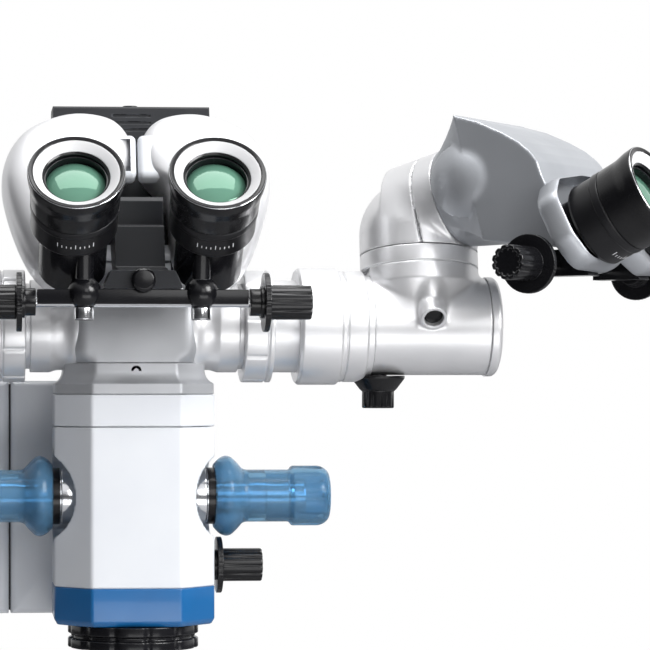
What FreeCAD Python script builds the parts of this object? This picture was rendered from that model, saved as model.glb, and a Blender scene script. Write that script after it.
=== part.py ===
"""Optical head of a surgical microscope with a surgeon's and an assistant's binocular tube.

Units are millimetres. The origin is the centre of the lower rim of the objective mount, +Z runs
up the optical axis, the surgeon looks from -Y and the assistant's arm leaves towards +X.
"""
import FreeCAD
import Part
import math
import os

Vector = FreeCAD.Vector
Placement = FreeCAD.Placement
Rotation = FreeCAD.Rotation

# Clearances
FIT = 0.05
GAP = 0.3
SEAM = 0.4

# Column
COLUMN_HALF = 36.6
COLUMN_FRONT = 28.0
COLUMN_BACK = 36.0
COLUMN_CHAMFER = 16.3
COLUMN_EDGE = 3.0
WALL = 4.0
BAND_Z = 11.0
BAND_HEIGHT = 17.4
BAND_BEVEL = 2.6
COLUMN_HEIGHT = 72.5
COLLAR_HEIGHT = 14.4
STEP_HEIGHT = 8.2
STEP_UPPER = 6.4
STEP_INSET = 4.4
LIGHT_X = 11.0
LIGHT_R = 8.0

# Objective
MOUNT_R = 30.0
MOUNT_NECK_R = 25.4
MOUNT_REGISTER_R = 26.0
MOUNT_REGISTER_DEPTH = 4.0
MOUNT_SLEEVE_TOP = 34.0
SCALLOPS = 12
SCALLOP_R = 3.0
CELL_R = 24.0
CELL_WALL = 2.0
CELL_Z = 9.0
CELL_HEIGHT = 21.0
LENS_THICKNESS = 8.0
LENS_EDGE = 3.0

# Magnification drum and hand knobs
DRUM_Z = 69.0
DRUM_R = 20.0
DRUM_HALF = 18.0
DRUM_BORE_R = 6.5
DRUM_BORE_X = 9.5
DRUM_LENS_THICKNESS = 2.0
SHAFT_R = 5.0
SHAFT_END = 33.0
RECESS_R = 22.0
RECESS_FLOOR = 26.3
HUB_R = 12.9
HUB_LENGTH = 6.6
HUB_COLLAR = 4.8
SPIGOT_R = 8.5
SPIGOT_LENGTH = 41.0
COVER_R = 12.0
COVER_FLANGE_R = 18.6
COVER_WALL = 1.6
COVER_GRIP_R = 13.8
COVER_FLUTES = 10

# Fluted knobs
KNOB_DISC_R = 12.9
KNOB_DISC = 2.4
KNOB_BASE_R = 7.0
KNOB_GRIP_R = 7.6
KNOB_GRIP = 18.6
KNOB_FLUTES = 12
FOCUS_Z = 37.2
FOCUS_SHAFT_R = 2.5
PINION_R = 2.9
PINION_WIDTH = 2.6
RACK_THICKNESS = 3.4
RACK_HEIGHT = 14.0

# Head block and side ports
HEAD_HALF = 27.8
HEAD_FRONT = 24.0
HEAD_BACK = 30.0
HEAD_HEIGHT = 27.8
HEAD_SKIRT = 7.0
PORT_Z = 147.0
PORT_R = 21.2
PORT_CONE_END = 38.6
PORT_END = 47.5
PORT_GROOVE = 2.3
SPIGOT_PORT_R = 17.5
PORT_BORE_R = 14.0
CLAMP_R = 25.8
CLAMP_LENGTH = 13.2
CLAMP_GROOVES = 3

# Rear housing and its stand flange
REAR_LEFT = -84.0
REAR_RIGHT = 30.0
REAR_DEPTH = 46.0
REAR_Z = 12.0
REAR_HEIGHT = 110.0
REAR_SEAM_X = -56.0
FLANGE_R = 30.0
FLANGE_THICKNESS = 8.0
FLANGE_BOLT_CIRCLE = 44.0
FLANGE_BOLTS = 4
FLANGE_BOLT_R = 3.3

# Assistant's arm
ARM_TUBE_LENGTH = 11.5
COLLAR_R = 26.9
COLLAR_LENGTH = 19.4
SECTION_R = 25.6
SECTION_LENGTH = 12.0
ELBOW_R = 22.4
ELBOW_LENGTH = 54.0
ELBOW_CAP = 5.0
BRANCH_X = 133.6
BRANCH_LEAN = 10.0
BRANCH_R = 27.3
BRANCH_TOP = 25.6
BRANCH_RING = 8.0
DOME_SHANK = 9.0
BEARING_R = 18.0
BEARING_LENGTH = 5.0
NECK_R = 23.2
LOCK_X = 113.6
LOCK_STEM_R = 4.0
LOCK_STEM = 7.0
LOCK_CONE_R = 12.4

# Tubes in common: eyepieces and the pupil distance drive
PUPIL_HALF = 30.0
BARREL_R = 15.0
BARREL_BORE = 12.4
RING_R = 19.3
RING_START = 21.3
RING_LENGTH = 15.7
CUP_RIM_R = 21.0
CUP_LENGTH = 18.6
LENS_R = 12.9
EYE_LENS_THICKNESS = 4.0
BAR_HALF = 46.0
BAR_WIDTH = 7.0
BAR_HEIGHT = 6.5
SPINDLE_R = 2.2
KNOB_SEAT_X = 46.6
CARRIER_X = 25.5
CARRIER_R = 7.4
STUD_R = 4.2
STUD_LENGTH = 6.6

# Surgeon's tube
EYE_TILT = 38.0
EYE_Y = -50.0
EYE_Z = 176.0
LOBE_TILT = 20.0
LOBE_DEPTH = 34.0
LOBE_ROUND = 0.2
LOBE_CENTRE = (31.0, 34.0)
LOBE_OUTLINE = [(31, -9.5), (45, -3), (55.5, 18), (60.6, 44.5), (51.5, 65), (31, 75), (11.5, 73),
                (2.2, 62), (2.3, 48), (11.8, 37), (13.9, 22), (15.4, 8), (20.5, -5)]
SPINDLE_Y = -66.0
SPINDLE_Z = 156.0
HINGE_Y = 8.0
HINGE_Z = 184.0
KNUCKLE_R = 13.5
KNUCKLE_HALF = 17.0
KNUCKLE_CLEAR = 1.0
BRACKET_FRONT = 69.6
BRACKET_Z = 161.8
LOCK_Z = 165.5
PIN_R = 5.0
TUBE_FLANGE_R = 26.0
TUBE_FLANGE = 5.6
HOUSING_HALF = 36.4
HOUSING_TOP = 249.5
HOUSING_BACK = 42.0
PILLAR_HALF = 11.0
PILLAR_PROFILE = [(5.5, 194.2), (36, 204), (38, 202), (38, 191), (44, 190.5), (50, 172), (62, 171),
                  (BRACKET_FRONT - 0.2, 169.6), (BRACKET_FRONT - 0.2, BRACKET_Z + 0.2),
                  (40, BRACKET_Z + 0.2), (17, 177), (8.6, 186.5)]
LOCK_KNOB_R = 5.4

# Assistant's tube, in a frame turned about Z with its own eyepieces towards -Y
ASSIST_TURN = 50.3
ASSIST_PIVOT = Vector(165.5, -18.5, 211.7)
ASSIST_NECK_RISE = 15.0
ASSIST_NECK_BACK = 21.0
ASSIST_EYE_TILT = 26.0
ASSIST_HALF = 34.0
ASSIST_REAR = 3.6
ASSIST_AXIS_N = -48.2
ASSIST_FACE_E = 35.2
ASSIST_LOBE_DEPTH = 10.4
ASSIST_LOBE_ROUND = 0.06
ASSIST_LOBE_CENTRE = (28.0, -42.0)
ASSIST_BARREL_START = 12.0
ASSIST_SPINDLE_S = 44.0
ASSIST_SPINDLE_Z = -39.5
ASSIST_BULGE_R = 13.0
ASSIST_BULGE = 3.4
ASSIST_PROFILE = [(-4, 29), (20, 20.5), (34.5, 11.5), (39.6, 1), (40, -1.7), (54.9, -32.2),
                  (11, -27.5)]
ASSIST_PROFILE_RADII = [0.8, 34, 12, 0.8, 0.8, 2.5, 2.0]
ASSIST_LOBE_OUTLINE = [(1.3, -20.5), (16, -20.5), (42, -24), (53, -33), (53, -52), (45, -65),
                       (16, -66), (1.3, -56)]
ASSIST_LOBE_RADII = [2, 16, 8, 9, 9, 9, 9, 5]

# Levels that follow from the sizes above
COLUMN_Z0 = BAND_Z + BAND_HEIGHT
COLUMN_Z1 = COLUMN_Z0 + COLUMN_HEIGHT
COLLAR_Z1 = COLUMN_Z1 + SEAM + COLLAR_HEIGHT
STEP_Z1 = COLLAR_Z1 + STEP_HEIGHT
HEAD_Z0 = STEP_Z1 + STEP_UPPER
HEAD_Z1 = HEAD_Z0 + HEAD_HEIGHT
CLAMP_START = PORT_END + PORT_GROOVE
CLAMP_END = CLAMP_START + CLAMP_LENGTH
ARM_START = CLAMP_END + GAP
COLLAR_START = ARM_START + ARM_TUBE_LENGTH
SECTION_START = COLLAR_START + COLLAR_LENGTH
ELBOW_START = SECTION_START + SECTION_LENGTH + 2.8
ELBOW_END = ELBOW_START + ELBOW_LENGTH
LOCK_TOP = PORT_Z - ELBOW_R - GAP


def polar(radius, degrees):
    """Point in the XY plane at a radius and an angle."""
    angle = math.radians(degrees)
    return radius * math.cos(angle), radius * math.sin(angle)


def box(x0, x1, y0, y1, z0, z1):
    """Block between two corners."""
    return Part.makeBox(x1 - x0, y1 - y0, z1 - z0, Vector(x0, y0, z0))


def rounded(points, radii):
    """Closed wire in the XY plane through corner points, each corner rounded to its radius."""
    corners = [Vector(x, y, 0) for x, y in points]
    if not isinstance(radii, (list, tuple)):
        radii = [radii] * len(corners)
    arcs = []
    for index, corner in enumerate(corners):
        before = (corners[index - 1] - corner).normalize()
        after = (corners[(index + 1) % len(corners)] - corner).normalize()
        half = before.getAngle(after) / 2
        reach = radii[index] / math.tan(half)
        inward = (before + after).normalize()
        middle = corner + inward * (radii[index] / math.sin(half) - radii[index])
        arcs.append((corner + before * reach, middle, corner + after * reach))
    edges = []
    for index, (start, middle, end) in enumerate(arcs):
        edges.append(Part.Arc(start, middle, end).toShape())
        following = arcs[(index + 1) % len(arcs)][0]
        edges.append(Part.LineSegment(end, following).toShape())
    return Part.Wire(edges)


def slab(wire, z0, z1):
    """Straight prism of a wire between two heights."""
    solid = Part.Face(wire).extrude(Vector(0, 0, z1 - z0))
    solid.translate(Vector(0, 0, z0))
    return solid


def lifted(wire, height):
    """Copy of a wire at a height."""
    copy = wire.copy()
    copy.translate(Vector(0, 0, height))
    return copy


def turned(profile):
    """Solid of revolution about Z from corners given as radius and height."""
    corners = [Vector(radius, 0, height) for radius, height in profile]
    face = Part.Face(Part.makePolygon(corners + corners[:1]))
    return face.revolve(Vector(0, 0, 0), Vector(0, 0, 1), 360)


def put(shape, placement):
    """Copy of a shape carried by a placement."""
    copy = shape.copy()
    copy.Placement = placement.multiply(copy.Placement)
    return copy


def along_x(shape, side, x=0.0, y=0.0, z=0.0):
    """Shape built about Z, laid along +X or -X from a point."""
    rotation = Rotation(Vector(0, 0, 1), Vector(side, 0, 0))
    return put(shape, Placement(Vector(x, y, z), rotation))


def leaned(rise):
    """Rotation that carries Z to a direction towards -Y that rises by an angle."""
    return Rotation(Vector(1, 0, 0), 90 - rise)


def toward(rise):
    """Unit vector towards -Y that rises by an angle."""
    return leaned(rise).multVec(Vector(0, 0, 1))


def mirrored(shape):
    """Mirror image of a shape in the YZ plane."""
    return shape.mirror(Vector(0, 0, 0), Vector(1, 0, 0))


def column_outline(inset=0.0, edge=COLUMN_EDGE):
    """Eight sided outline of the column, moved inwards by an inset."""
    half = COLUMN_HALF - inset
    front = -(COLUMN_FRONT - inset)
    back = COLUMN_BACK - inset
    cut = COLUMN_CHAMFER - inset * (2 - math.sqrt(2))
    points = [(-half, front + cut), (-half + cut, front), (half - cut, front), (half, front + cut),
              (half, back - cut), (half - cut, back), (-half + cut, back), (-half, back - cut)]
    return rounded(points, edge)


def light_holes(z0, z1):
    """The two beam openings through a floor."""
    holes = []
    for side in (-1, 1):
        holes.append(Part.makeCylinder(LIGHT_R, z1 - z0, Vector(side * LIGHT_X, 0, z0)))
    return holes


def column_housing():
    """Lower column: an open shell with a scalloped recess and a bearing for each hand knob."""
    outer = slab(column_outline(), COLUMN_Z0, COLUMN_Z1)
    shell = outer.cut(slab(column_outline(WALL), COLUMN_Z0 - 1, COLUMN_Z1 + 1))
    for side in (-1, 1):
        depth = COLUMN_HALF - RECESS_FLOOR + WALL
        cup = Part.makeCylinder(RECESS_R + WALL, depth)
        cup = along_x(cup, side, side * (RECESS_FLOOR - WALL), 0, DRUM_Z)
        shell = shell.fuse(cup.common(outer))
    for side in (-1, 1):
        recess = Part.makeCylinder(RECESS_R, COLUMN_HALF)
        bearing = Part.makeCylinder(SHAFT_R + FIT, COLUMN_HALF)
        shell = shell.cut(along_x(recess, side, side * RECESS_FLOOR, 0, DRUM_Z))
        shell = shell.cut(along_x(bearing, side, side * DRUM_HALF, 0, DRUM_Z))
    bush = Part.makeCylinder(FOCUS_SHAFT_R + FIT, 2 * WALL)
    return shell.cut(along_x(bush, 1, COLUMN_HALF - 1.5 * WALL, 0, FOCUS_Z)).cut(sleeve_hole())


def base_band():
    """Coloured band round the foot of the column with a bevelled lower edge and a floor."""
    bevel = Part.makeLoft([lifted(column_outline(1.4), BAND_Z),
                           lifted(column_outline(), BAND_Z + BAND_BEVEL)], True, True)
    band = bevel.fuse(slab(column_outline(), BAND_Z + BAND_BEVEL, COLUMN_Z0))
    band = band.cut(slab(column_outline(WALL), BAND_Z + WALL, COLUMN_Z0 + 1))
    return band.cut(sleeve_hole())


def sleeve_hole():
    """Hole for the sleeve of the objective mount, through the band and into the column."""
    return Part.makeCylinder(MOUNT_NECK_R + FIT, MOUNT_SLEEVE_TOP + GAP)


def objective_mount():
    """Black ring with two ribs, scalloped for grip, and the sleeve the lens cell slides in."""
    bore = CELL_R + FIT
    rib = 4.1
    top = BAND_Z - 0.1
    profile = [(MOUNT_REGISTER_R, 0), (MOUNT_R - 0.8, 0), (MOUNT_R, 0.8), (MOUNT_R, rib),
               (MOUNT_R - 1.5, rib + 0.6), (MOUNT_R - 1.5, top - rib - 0.6), (MOUNT_R, top - rib),
               (MOUNT_R, top), (MOUNT_NECK_R, top), (MOUNT_NECK_R, MOUNT_SLEEVE_TOP),
               (bore, MOUNT_SLEEVE_TOP), (bore, MOUNT_REGISTER_DEPTH),
               (MOUNT_REGISTER_R, MOUNT_REGISTER_DEPTH)]
    ring = turned(profile)
    for index in range(SCALLOPS):
        x, y = polar(MOUNT_R + SCALLOP_R - 1.2, index * 360 / SCALLOPS + 10)
        ring = ring.cut(Part.makeCylinder(SCALLOP_R, top, Vector(x, y, -1)))
    return ring


def objective_cell():
    """Sliding tube that carries the objective, with a rack standing on its rim."""
    inner = CELL_R - CELL_WALL
    top = CELL_Z + CELL_HEIGHT
    cell = turned([(inner, CELL_Z), (CELL_R, CELL_Z), (CELL_R, top), (inner, top)])
    seat_z = CELL_Z + 2 + LENS_THICKNESS
    cell = cell.fuse(turned([(inner - 1.5, seat_z), (inner + 0.5, seat_z), (inner + 0.5, seat_z + 2),
                             (inner - 1.5, seat_z + 2)]))
    rack_x = RECESS_FLOOR - WALL - GAP
    rack = box(rack_x - PINION_WIDTH, rack_x, PINION_R + FIT, PINION_R + RACK_THICKNESS,
               top - 4, top + RACK_HEIGHT)
    foot = box(rack_x - PINION_WIDTH, rack_x + 1.0, PINION_R + FIT, PINION_R + RACK_THICKNESS,
               top - 4, top)
    return cell.fuse(rack).fuse(foot)


def lens_blank(radius, thickness, edge):
    """Lens with two equal domed faces, standing on z = 0."""
    sag = (thickness - edge) / 2
    ball = (radius ** 2 + sag ** 2) / (2 * sag)
    disc = Part.makeCylinder(radius, thickness)
    lower = Part.makeSphere(ball, Vector(0, 0, ball))
    upper = Part.makeSphere(ball, Vector(0, 0, thickness - ball))
    return disc.common(lower).common(upper)


def objective_lens():
    """Main objective in its cell."""
    lens = lens_blank(CELL_R - CELL_WALL - FIT, LENS_THICKNESS, LENS_EDGE)
    lens.translate(Vector(0, 0, CELL_Z + 2))
    return lens


def drum_bore_angles():
    """Angles of the three cross bores of the drum about its axis."""
    return [0, 60, 120]


def mag_drum():
    """Magnification changer: a drum with three pairs of cross bores on its shaft."""
    drum = Part.makeCylinder(DRUM_R, 2 * DRUM_HALF, Vector(0, 0, -DRUM_HALF))
    drum = drum.fuse(Part.makeCylinder(SHAFT_R, 2 * SHAFT_END, Vector(0, 0, -SHAFT_END)))
    for offset in (-DRUM_BORE_X, DRUM_BORE_X):
        for angle in drum_bore_angles():
            x, y = polar(1, angle)
            start = Vector(-2 * DRUM_R * x, -2 * DRUM_R * y, offset)
            drum = drum.cut(Part.makeCylinder(DRUM_BORE_R, 4 * DRUM_R, start, Vector(x, y, 0)))
    return along_x(drum, 1, 0, 0, DRUM_Z)


def drum_lenses():
    """Small lenses at both ends of the two telescope bores of the drum."""
    lenses = []
    blank = lens_blank(DRUM_BORE_R - FIT, DRUM_LENS_THICKNESS + 1, DRUM_LENS_THICKNESS)
    for offset in (-DRUM_BORE_X, DRUM_BORE_X):
        for angle in drum_bore_angles()[1:]:
            for side in (0, 180):
                x, y = polar(DRUM_R - 5, angle + side)
                rotation = Rotation(Vector(0, 0, 1), Vector(x, y, 0))
                lenses.append(put(blank, Placement(Vector(x, y, offset), rotation)))
    return along_x(Part.makeCompound(lenses), 1, 0, 0, DRUM_Z)


def hand_knobs():
    """Hub, collar and spigot on each end of the drum shaft."""
    start = RECESS_FLOOR + 0.5
    hub_end = start + HUB_LENGTH
    collar_end = hub_end + HUB_COLLAR
    tip = collar_end + SPIGOT_LENGTH
    bore = SHAFT_R + FIT
    profile = [(bore, start), (HUB_R - 1.2, start), (HUB_R, start + 1.2), (HUB_R, hub_end - 0.4),
               (HUB_R - 0.8, hub_end), (HUB_R - 0.8, hub_end + 0.4), (HUB_R, hub_end + 0.8),
               (HUB_R, collar_end), (SPIGOT_R, collar_end), (SPIGOT_R, tip - 1), (SPIGOT_R - 1, tip),
               (0, tip), (0, SHAFT_END + FIT), (bore, SHAFT_END + FIT)]
    knob = turned(profile)
    return Part.makeCompound([along_x(knob, side, 0, 0, DRUM_Z) for side in (-1, 1)])


def sterile_covers():
    """Thin covers over the hand knobs: a flared skirt, a tube and a fluted closed end."""
    skirt = COLUMN_HALF + 0.6
    waist = skirt + 13.6
    shoulder = waist + 21.0
    nose = shoulder + 14.0
    tip = nose + 4.6
    inner = COVER_R - COVER_WALL
    seat = SPIGOT_R + FIT
    profile = [(HUB_R + GAP + COVER_WALL, skirt), (COVER_FLANGE_R - 1.2, skirt + 2.4),
               (COVER_FLANGE_R, skirt + 5.4), (COVER_FLANGE_R - 0.6, skirt + 7.8), (COVER_R + 3, skirt + 11),
               (COVER_R + 0.6, waist - 0.8), (COVER_R, waist), (COVER_R, shoulder),
               (COVER_GRIP_R, shoulder + 1.4), (COVER_GRIP_R, nose), (COVER_GRIP_R - 1.0, nose + 2.6),
               (COVER_GRIP_R - 3.2, tip), (0, tip), (0, tip - COVER_WALL),
               (COVER_GRIP_R - 4.0, tip - COVER_WALL), (inner + 0.4, nose),
               (inner + 0.4, shoulder + 2), (inner, shoulder), (inner, waist + 10), (seat, waist + 10),
               (seat, waist + 2), (inner, waist + 2), (inner, waist), (COVER_R + 1.4, skirt + 10.8),
               (COVER_FLANGE_R - 2, skirt + 7.2), (COVER_FLANGE_R - COVER_WALL, skirt + 5.4),
               (COVER_FLANGE_R - 2.7, skirt + 3.2), (HUB_R + GAP, skirt)]
    cover = turned(profile)
    for index in range(COVER_FLUTES):
        x, y = polar(COVER_GRIP_R + 0.6, index * 360 / COVER_FLUTES)
        cover = cover.cut(Part.makeCylinder(1.4, nose - shoulder - 2, Vector(x, y, shoulder + 1)))
    return Part.makeCompound([along_x(cover, side, 0, 0, DRUM_Z) for side in (-1, 1)])


def fluted_knob():
    """Knob about Z from z = 0: a small base, a thin wide disc and a fluted grip."""
    grip = KNOB_DISC + 1.4
    tip = grip + KNOB_GRIP
    profile = [(0, 0), (KNOB_BASE_R, 0), (KNOB_BASE_R, 1.4), (KNOB_DISC_R, 1.4),
               (KNOB_DISC_R, 1.4 + KNOB_DISC), (KNOB_GRIP_R, grip), (KNOB_GRIP_R, tip - 0.8),
               (KNOB_GRIP_R - 0.8, tip), (0, tip)]
    knob = turned(profile)
    for index in range(KNOB_FLUTES):
        x, y = polar(KNOB_GRIP_R + 0.35, index * 360 / KNOB_FLUTES)
        flute = Part.makeCylinder(1.0, KNOB_GRIP, Vector(x, y, grip + 1.6))
        knob = knob.cut(flute)
    return knob


def focus_knob():
    """Fine focus knob with its shaft through the wall and the pinion that meets the rack."""
    knob = fluted_knob()
    pinion_end = RECESS_FLOOR - WALL - GAP
    seat = COLUMN_HALF + GAP
    shaft = Part.makeCylinder(FOCUS_SHAFT_R, seat - pinion_end, Vector(0, 0, pinion_end - seat))
    pinion = Part.makeCylinder(PINION_R, PINION_WIDTH, Vector(0, 0, pinion_end - PINION_WIDTH - seat))
    return along_x(knob.fuse(shaft).fuse(pinion), 1, seat, 0, FOCUS_Z)


def column_collar():
    """Upper part of the column, with a register lip below and a roof with the beam openings."""
    z0 = COLUMN_Z1 + SEAM
    lip = 3.0
    collar = slab(column_outline(), z0, COLLAR_Z1)
    collar = collar.fuse(slab(column_outline(WALL + FIT), z0 - lip, z0 + 1))
    collar = collar.cut(slab(column_outline(1.5 * WALL), z0 - lip - 1, COLLAR_Z1 - WALL))
    return collar.cut(Part.makeCompound(light_holes(COLLAR_Z1 - 2 * WALL, COLLAR_Z1 + 1)))


def coupling_screw():
    """Countersunk cap screw about Z with its head face at z = 0 and a round socket."""
    screw = turned([(0, -6), (1.4, -6), (1.4, -2.2), (2.3, -2.2), (2.3, 0), (0, 0)])
    return screw.cut(Part.makeCylinder(1.1, 2, Vector(0, 0, -1.2)))


def coupling_screw_places():
    """Where the coupling screws sit: front face and both sides of the upper step."""
    z = STEP_Z1 + STEP_UPPER * 0.4
    front = -(COLUMN_FRONT - STEP_INSET)
    half = COLUMN_HALF - STEP_INSET
    return [(Vector(0, front, z), Vector(0, -1, 0)), (Vector(half, 6, z), Vector(1, 0, 0)),
            (Vector(-half, 6, z), Vector(-1, 0, 0))]


def coupling_screws():
    """Screws that lock the coupling ring."""
    screws = []
    for point, direction in coupling_screw_places():
        rotation = Rotation(Vector(0, 0, 1), direction)
        screws.append(put(coupling_screw(), Placement(point, rotation)))
    return Part.makeCompound(screws)


def coupling_ring():
    """Stepped ring between column and head block."""
    ring = slab(column_outline(GAP), COLLAR_Z1, STEP_Z1)
    ring = ring.fuse(slab(column_outline(STEP_INSET), STEP_Z1, HEAD_Z0))
    ring = ring.cut(Part.makeCompound(light_holes(COLLAR_Z1 - 1, HEAD_Z0 + 1)))
    for point, direction in coupling_screw_places():
        rotation = Rotation(Vector(0, 0, 1), direction)
        seat = turned([(0, -6.1), (1.4 + FIT, -6.1), (1.4 + FIT, -2.2), (2.3 + FIT, -2.2),
                       (2.3 + FIT, 1), (0, 1)])
        ring = ring.cut(put(seat, Placement(point, rotation)))
    return ring


def head_block():
    """Cast block over the coupling ring with a flared skirt and flanks that meet the ports."""
    core = [(-HEAD_HALF, -HEAD_FRONT), (HEAD_HALF, -HEAD_FRONT), (HEAD_HALF, HEAD_BACK),
            (-HEAD_HALF, HEAD_BACK)]
    block = slab(rounded(core, 6), HEAD_Z0, HEAD_Z1)
    sections = []
    for step in range(5):
        share = step / 4
        inset = STEP_INSET + (HEAD_SKIRT - 2) * math.sin(share * math.pi / 2)
        sections.append(lifted(column_outline(inset), HEAD_Z0 + HEAD_SKIRT * (1 - math.cos(share * math.pi / 2))))
    skirt = Part.makeLoft(sections, True, True)
    return block.fuse(skirt)


def side_port(side, block):
    """Port of the beam splitter: a waisted cone, a ring, a groove and a spigot."""
    tip = CLAMP_START + CLAMP_LENGTH * 0.45
    profile = [(PORT_BORE_R, HEAD_HALF), (PORT_R + 1.4, HEAD_HALF), (PORT_R - 0.9, HEAD_HALF + 3),
               (PORT_R - 1.2, PORT_CONE_END - 4), (PORT_R, PORT_CONE_END), (PORT_R, PORT_END),
               (PORT_R - 1.6, PORT_END), (PORT_R - 1.6, CLAMP_START - FIT),
               (SPIGOT_PORT_R, CLAMP_START - FIT), (SPIGOT_PORT_R, tip), (PORT_BORE_R, tip)]
    port = along_x(turned(profile), side, 0, 0, PORT_Z)
    half = COLUMN_HALF - STEP_INSET + GAP
    step = box(-half, half, -COLUMN_BACK, COLUMN_BACK, STEP_Z1, HEAD_Z0)
    return port.cut(step).cut(block)


def port_clamp(side):
    """Clamp ring that locks an accessory on a port, with grip grooves."""
    bore = SPIGOT_PORT_R + FIT
    profile = [(bore, CLAMP_START), (CLAMP_R - 1, CLAMP_START), (CLAMP_R, CLAMP_START + 1),
               (CLAMP_R, CLAMP_END - 3.4), (CLAMP_R - 0.8, CLAMP_END - 3), (CLAMP_R - 0.8, CLAMP_END - 2.4),
               (CLAMP_R, CLAMP_END - 2), (CLAMP_R, CLAMP_END - 0.6), (CLAMP_R - 0.6, CLAMP_END),
               (bore, CLAMP_END)]
    ring = turned(profile)
    for index in range(CLAMP_GROOVES):
        x, y = polar(CLAMP_R, 64 + index * 360 / CLAMP_GROOVES)
        groove = Part.makeCylinder(1.3, CLAMP_LENGTH - 4, Vector(x, y, CLAMP_START - 1))
        ring = ring.cut(groove)
    return along_x(ring, side, 0, 0, PORT_Z)


def port_cap():
    """Blanking cap of the unused left port."""
    start = CLAMP_START + CLAMP_LENGTH * 0.45 + GAP
    rim = CLAMP_END + GAP
    profile = [(0, start), (SPIGOT_PORT_R, start), (SPIGOT_PORT_R, rim), (PORT_R, rim),
               (PORT_R, rim + 2.2), (PORT_R - 1.4, rim + 3.6), (PORT_R * 0.6, rim + 4.4), (0, rim + 4.6)]
    return along_x(turned(profile), -1, 0, 0, PORT_Z)


def rear_housing():
    """White housing behind the column, with a seam line between its two halves."""
    x_middle = (REAR_LEFT + REAR_RIGHT) / 2
    half = (REAR_RIGHT - REAR_LEFT) / 2
    tall = REAR_HEIGHT / 2
    outline = rounded([(-half, -tall), (half, -tall), (half, tall), (-half, tall)], [9, 9, 6, 6])
    body = slab(outline, 0, REAR_DEPTH)
    body = body.makeFillet(3.5, [edge for edge in body.Edges if edge.CenterOfMass.z > REAR_DEPTH - 0.01])
    seam = box(REAR_SEAM_X - 0.4 - x_middle, REAR_SEAM_X + 0.4 - x_middle, -tall - 1, tall + 1, -1, 0.8)
    body = body.cut(seam)
    rotation = Rotation(Vector(1, 0, 0), Vector(0, 0, 1), Vector(0, -1, 0), "XYZ")
    middle = Vector(x_middle, COLUMN_BACK + REAR_DEPTH, REAR_Z + tall)
    body = put(body, Placement(middle, rotation))
    return mirror_depth(body)


def mirror_depth(shape):
    """Shape reflected front to back about the middle plane of the rear housing."""
    return shape.mirror(Vector(0, COLUMN_BACK + REAR_DEPTH / 2, 0), Vector(0, 1, 0))


def stand_flange():
    """Flange on the back of the rear housing for the arm of the stand."""
    flange = turned([(0, 0), (FLANGE_R, 0), (FLANGE_R, FLANGE_THICKNESS - 1),
                     (FLANGE_R - 1, FLANGE_THICKNESS), (0, FLANGE_THICKNESS)])
    for index in range(FLANGE_BOLTS):
        x, y = polar(FLANGE_BOLT_CIRCLE / 2, 45 + index * 360 / FLANGE_BOLTS)
        flange = flange.cut(Part.makeCylinder(FLANGE_BOLT_R, 2 * FLANGE_THICKNESS, Vector(x, y, -1)))
    rotation = Rotation(Vector(0, 0, 1), Vector(0, 1, 0))
    return put(flange, Placement(Vector(0, COLUMN_BACK + REAR_DEPTH, REAR_Z + REAR_HEIGHT / 2), rotation))


def arm_tube():
    """Tube with its spigot in the right clamp ring, ending in the stepped collar."""
    spigot = CLAMP_START + CLAMP_LENGTH * 0.45 + GAP
    lip = SECTION_START + SECTION_LENGTH
    profile = [(0, spigot), (SPIGOT_PORT_R, spigot), (SPIGOT_PORT_R, ARM_START), (PORT_R, ARM_START),
               (PORT_R, COLLAR_START), (COLLAR_R - 1.2, COLLAR_START), (COLLAR_R, COLLAR_START + 1.2),
               (COLLAR_R, SECTION_START - 0.8), (COLLAR_R - 0.8, SECTION_START), (SECTION_R, SECTION_START),
               (SECTION_R, SECTION_START + 1.8), (SECTION_R - 0.6, SECTION_START + 2.0),
               (SECTION_R - 0.6, SECTION_START + 2.5), (SECTION_R, SECTION_START + 2.7),
               (SECTION_R, lip - 1), (SECTION_R - 1, lip), (ELBOW_R + 1.2, lip),
               (ELBOW_R + 1.2, ELBOW_START - FIT), (0, ELBOW_START - FIT)]
    tube = along_x(turned(profile), 1, 0, 0, PORT_Z)
    pocket = Part.makeCylinder(LOCK_CONE_R + GAP, SECTION_R, Vector(LOCK_X, 0, LOCK_TOP + GAP - SECTION_R))
    return tube.cut(pocket)


def branch_placement(distance=0.0):
    """Frame on the leaning axis of the elbow's branch, at a distance from the arm's axis."""
    lean = math.radians(BRANCH_LEAN)
    axis = Vector(0, math.sin(lean), math.cos(lean))
    foot = Vector(BRANCH_X, 0, PORT_Z)
    return Placement(foot + axis * distance, Rotation(Vector(0, 0, 1), axis))


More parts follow.
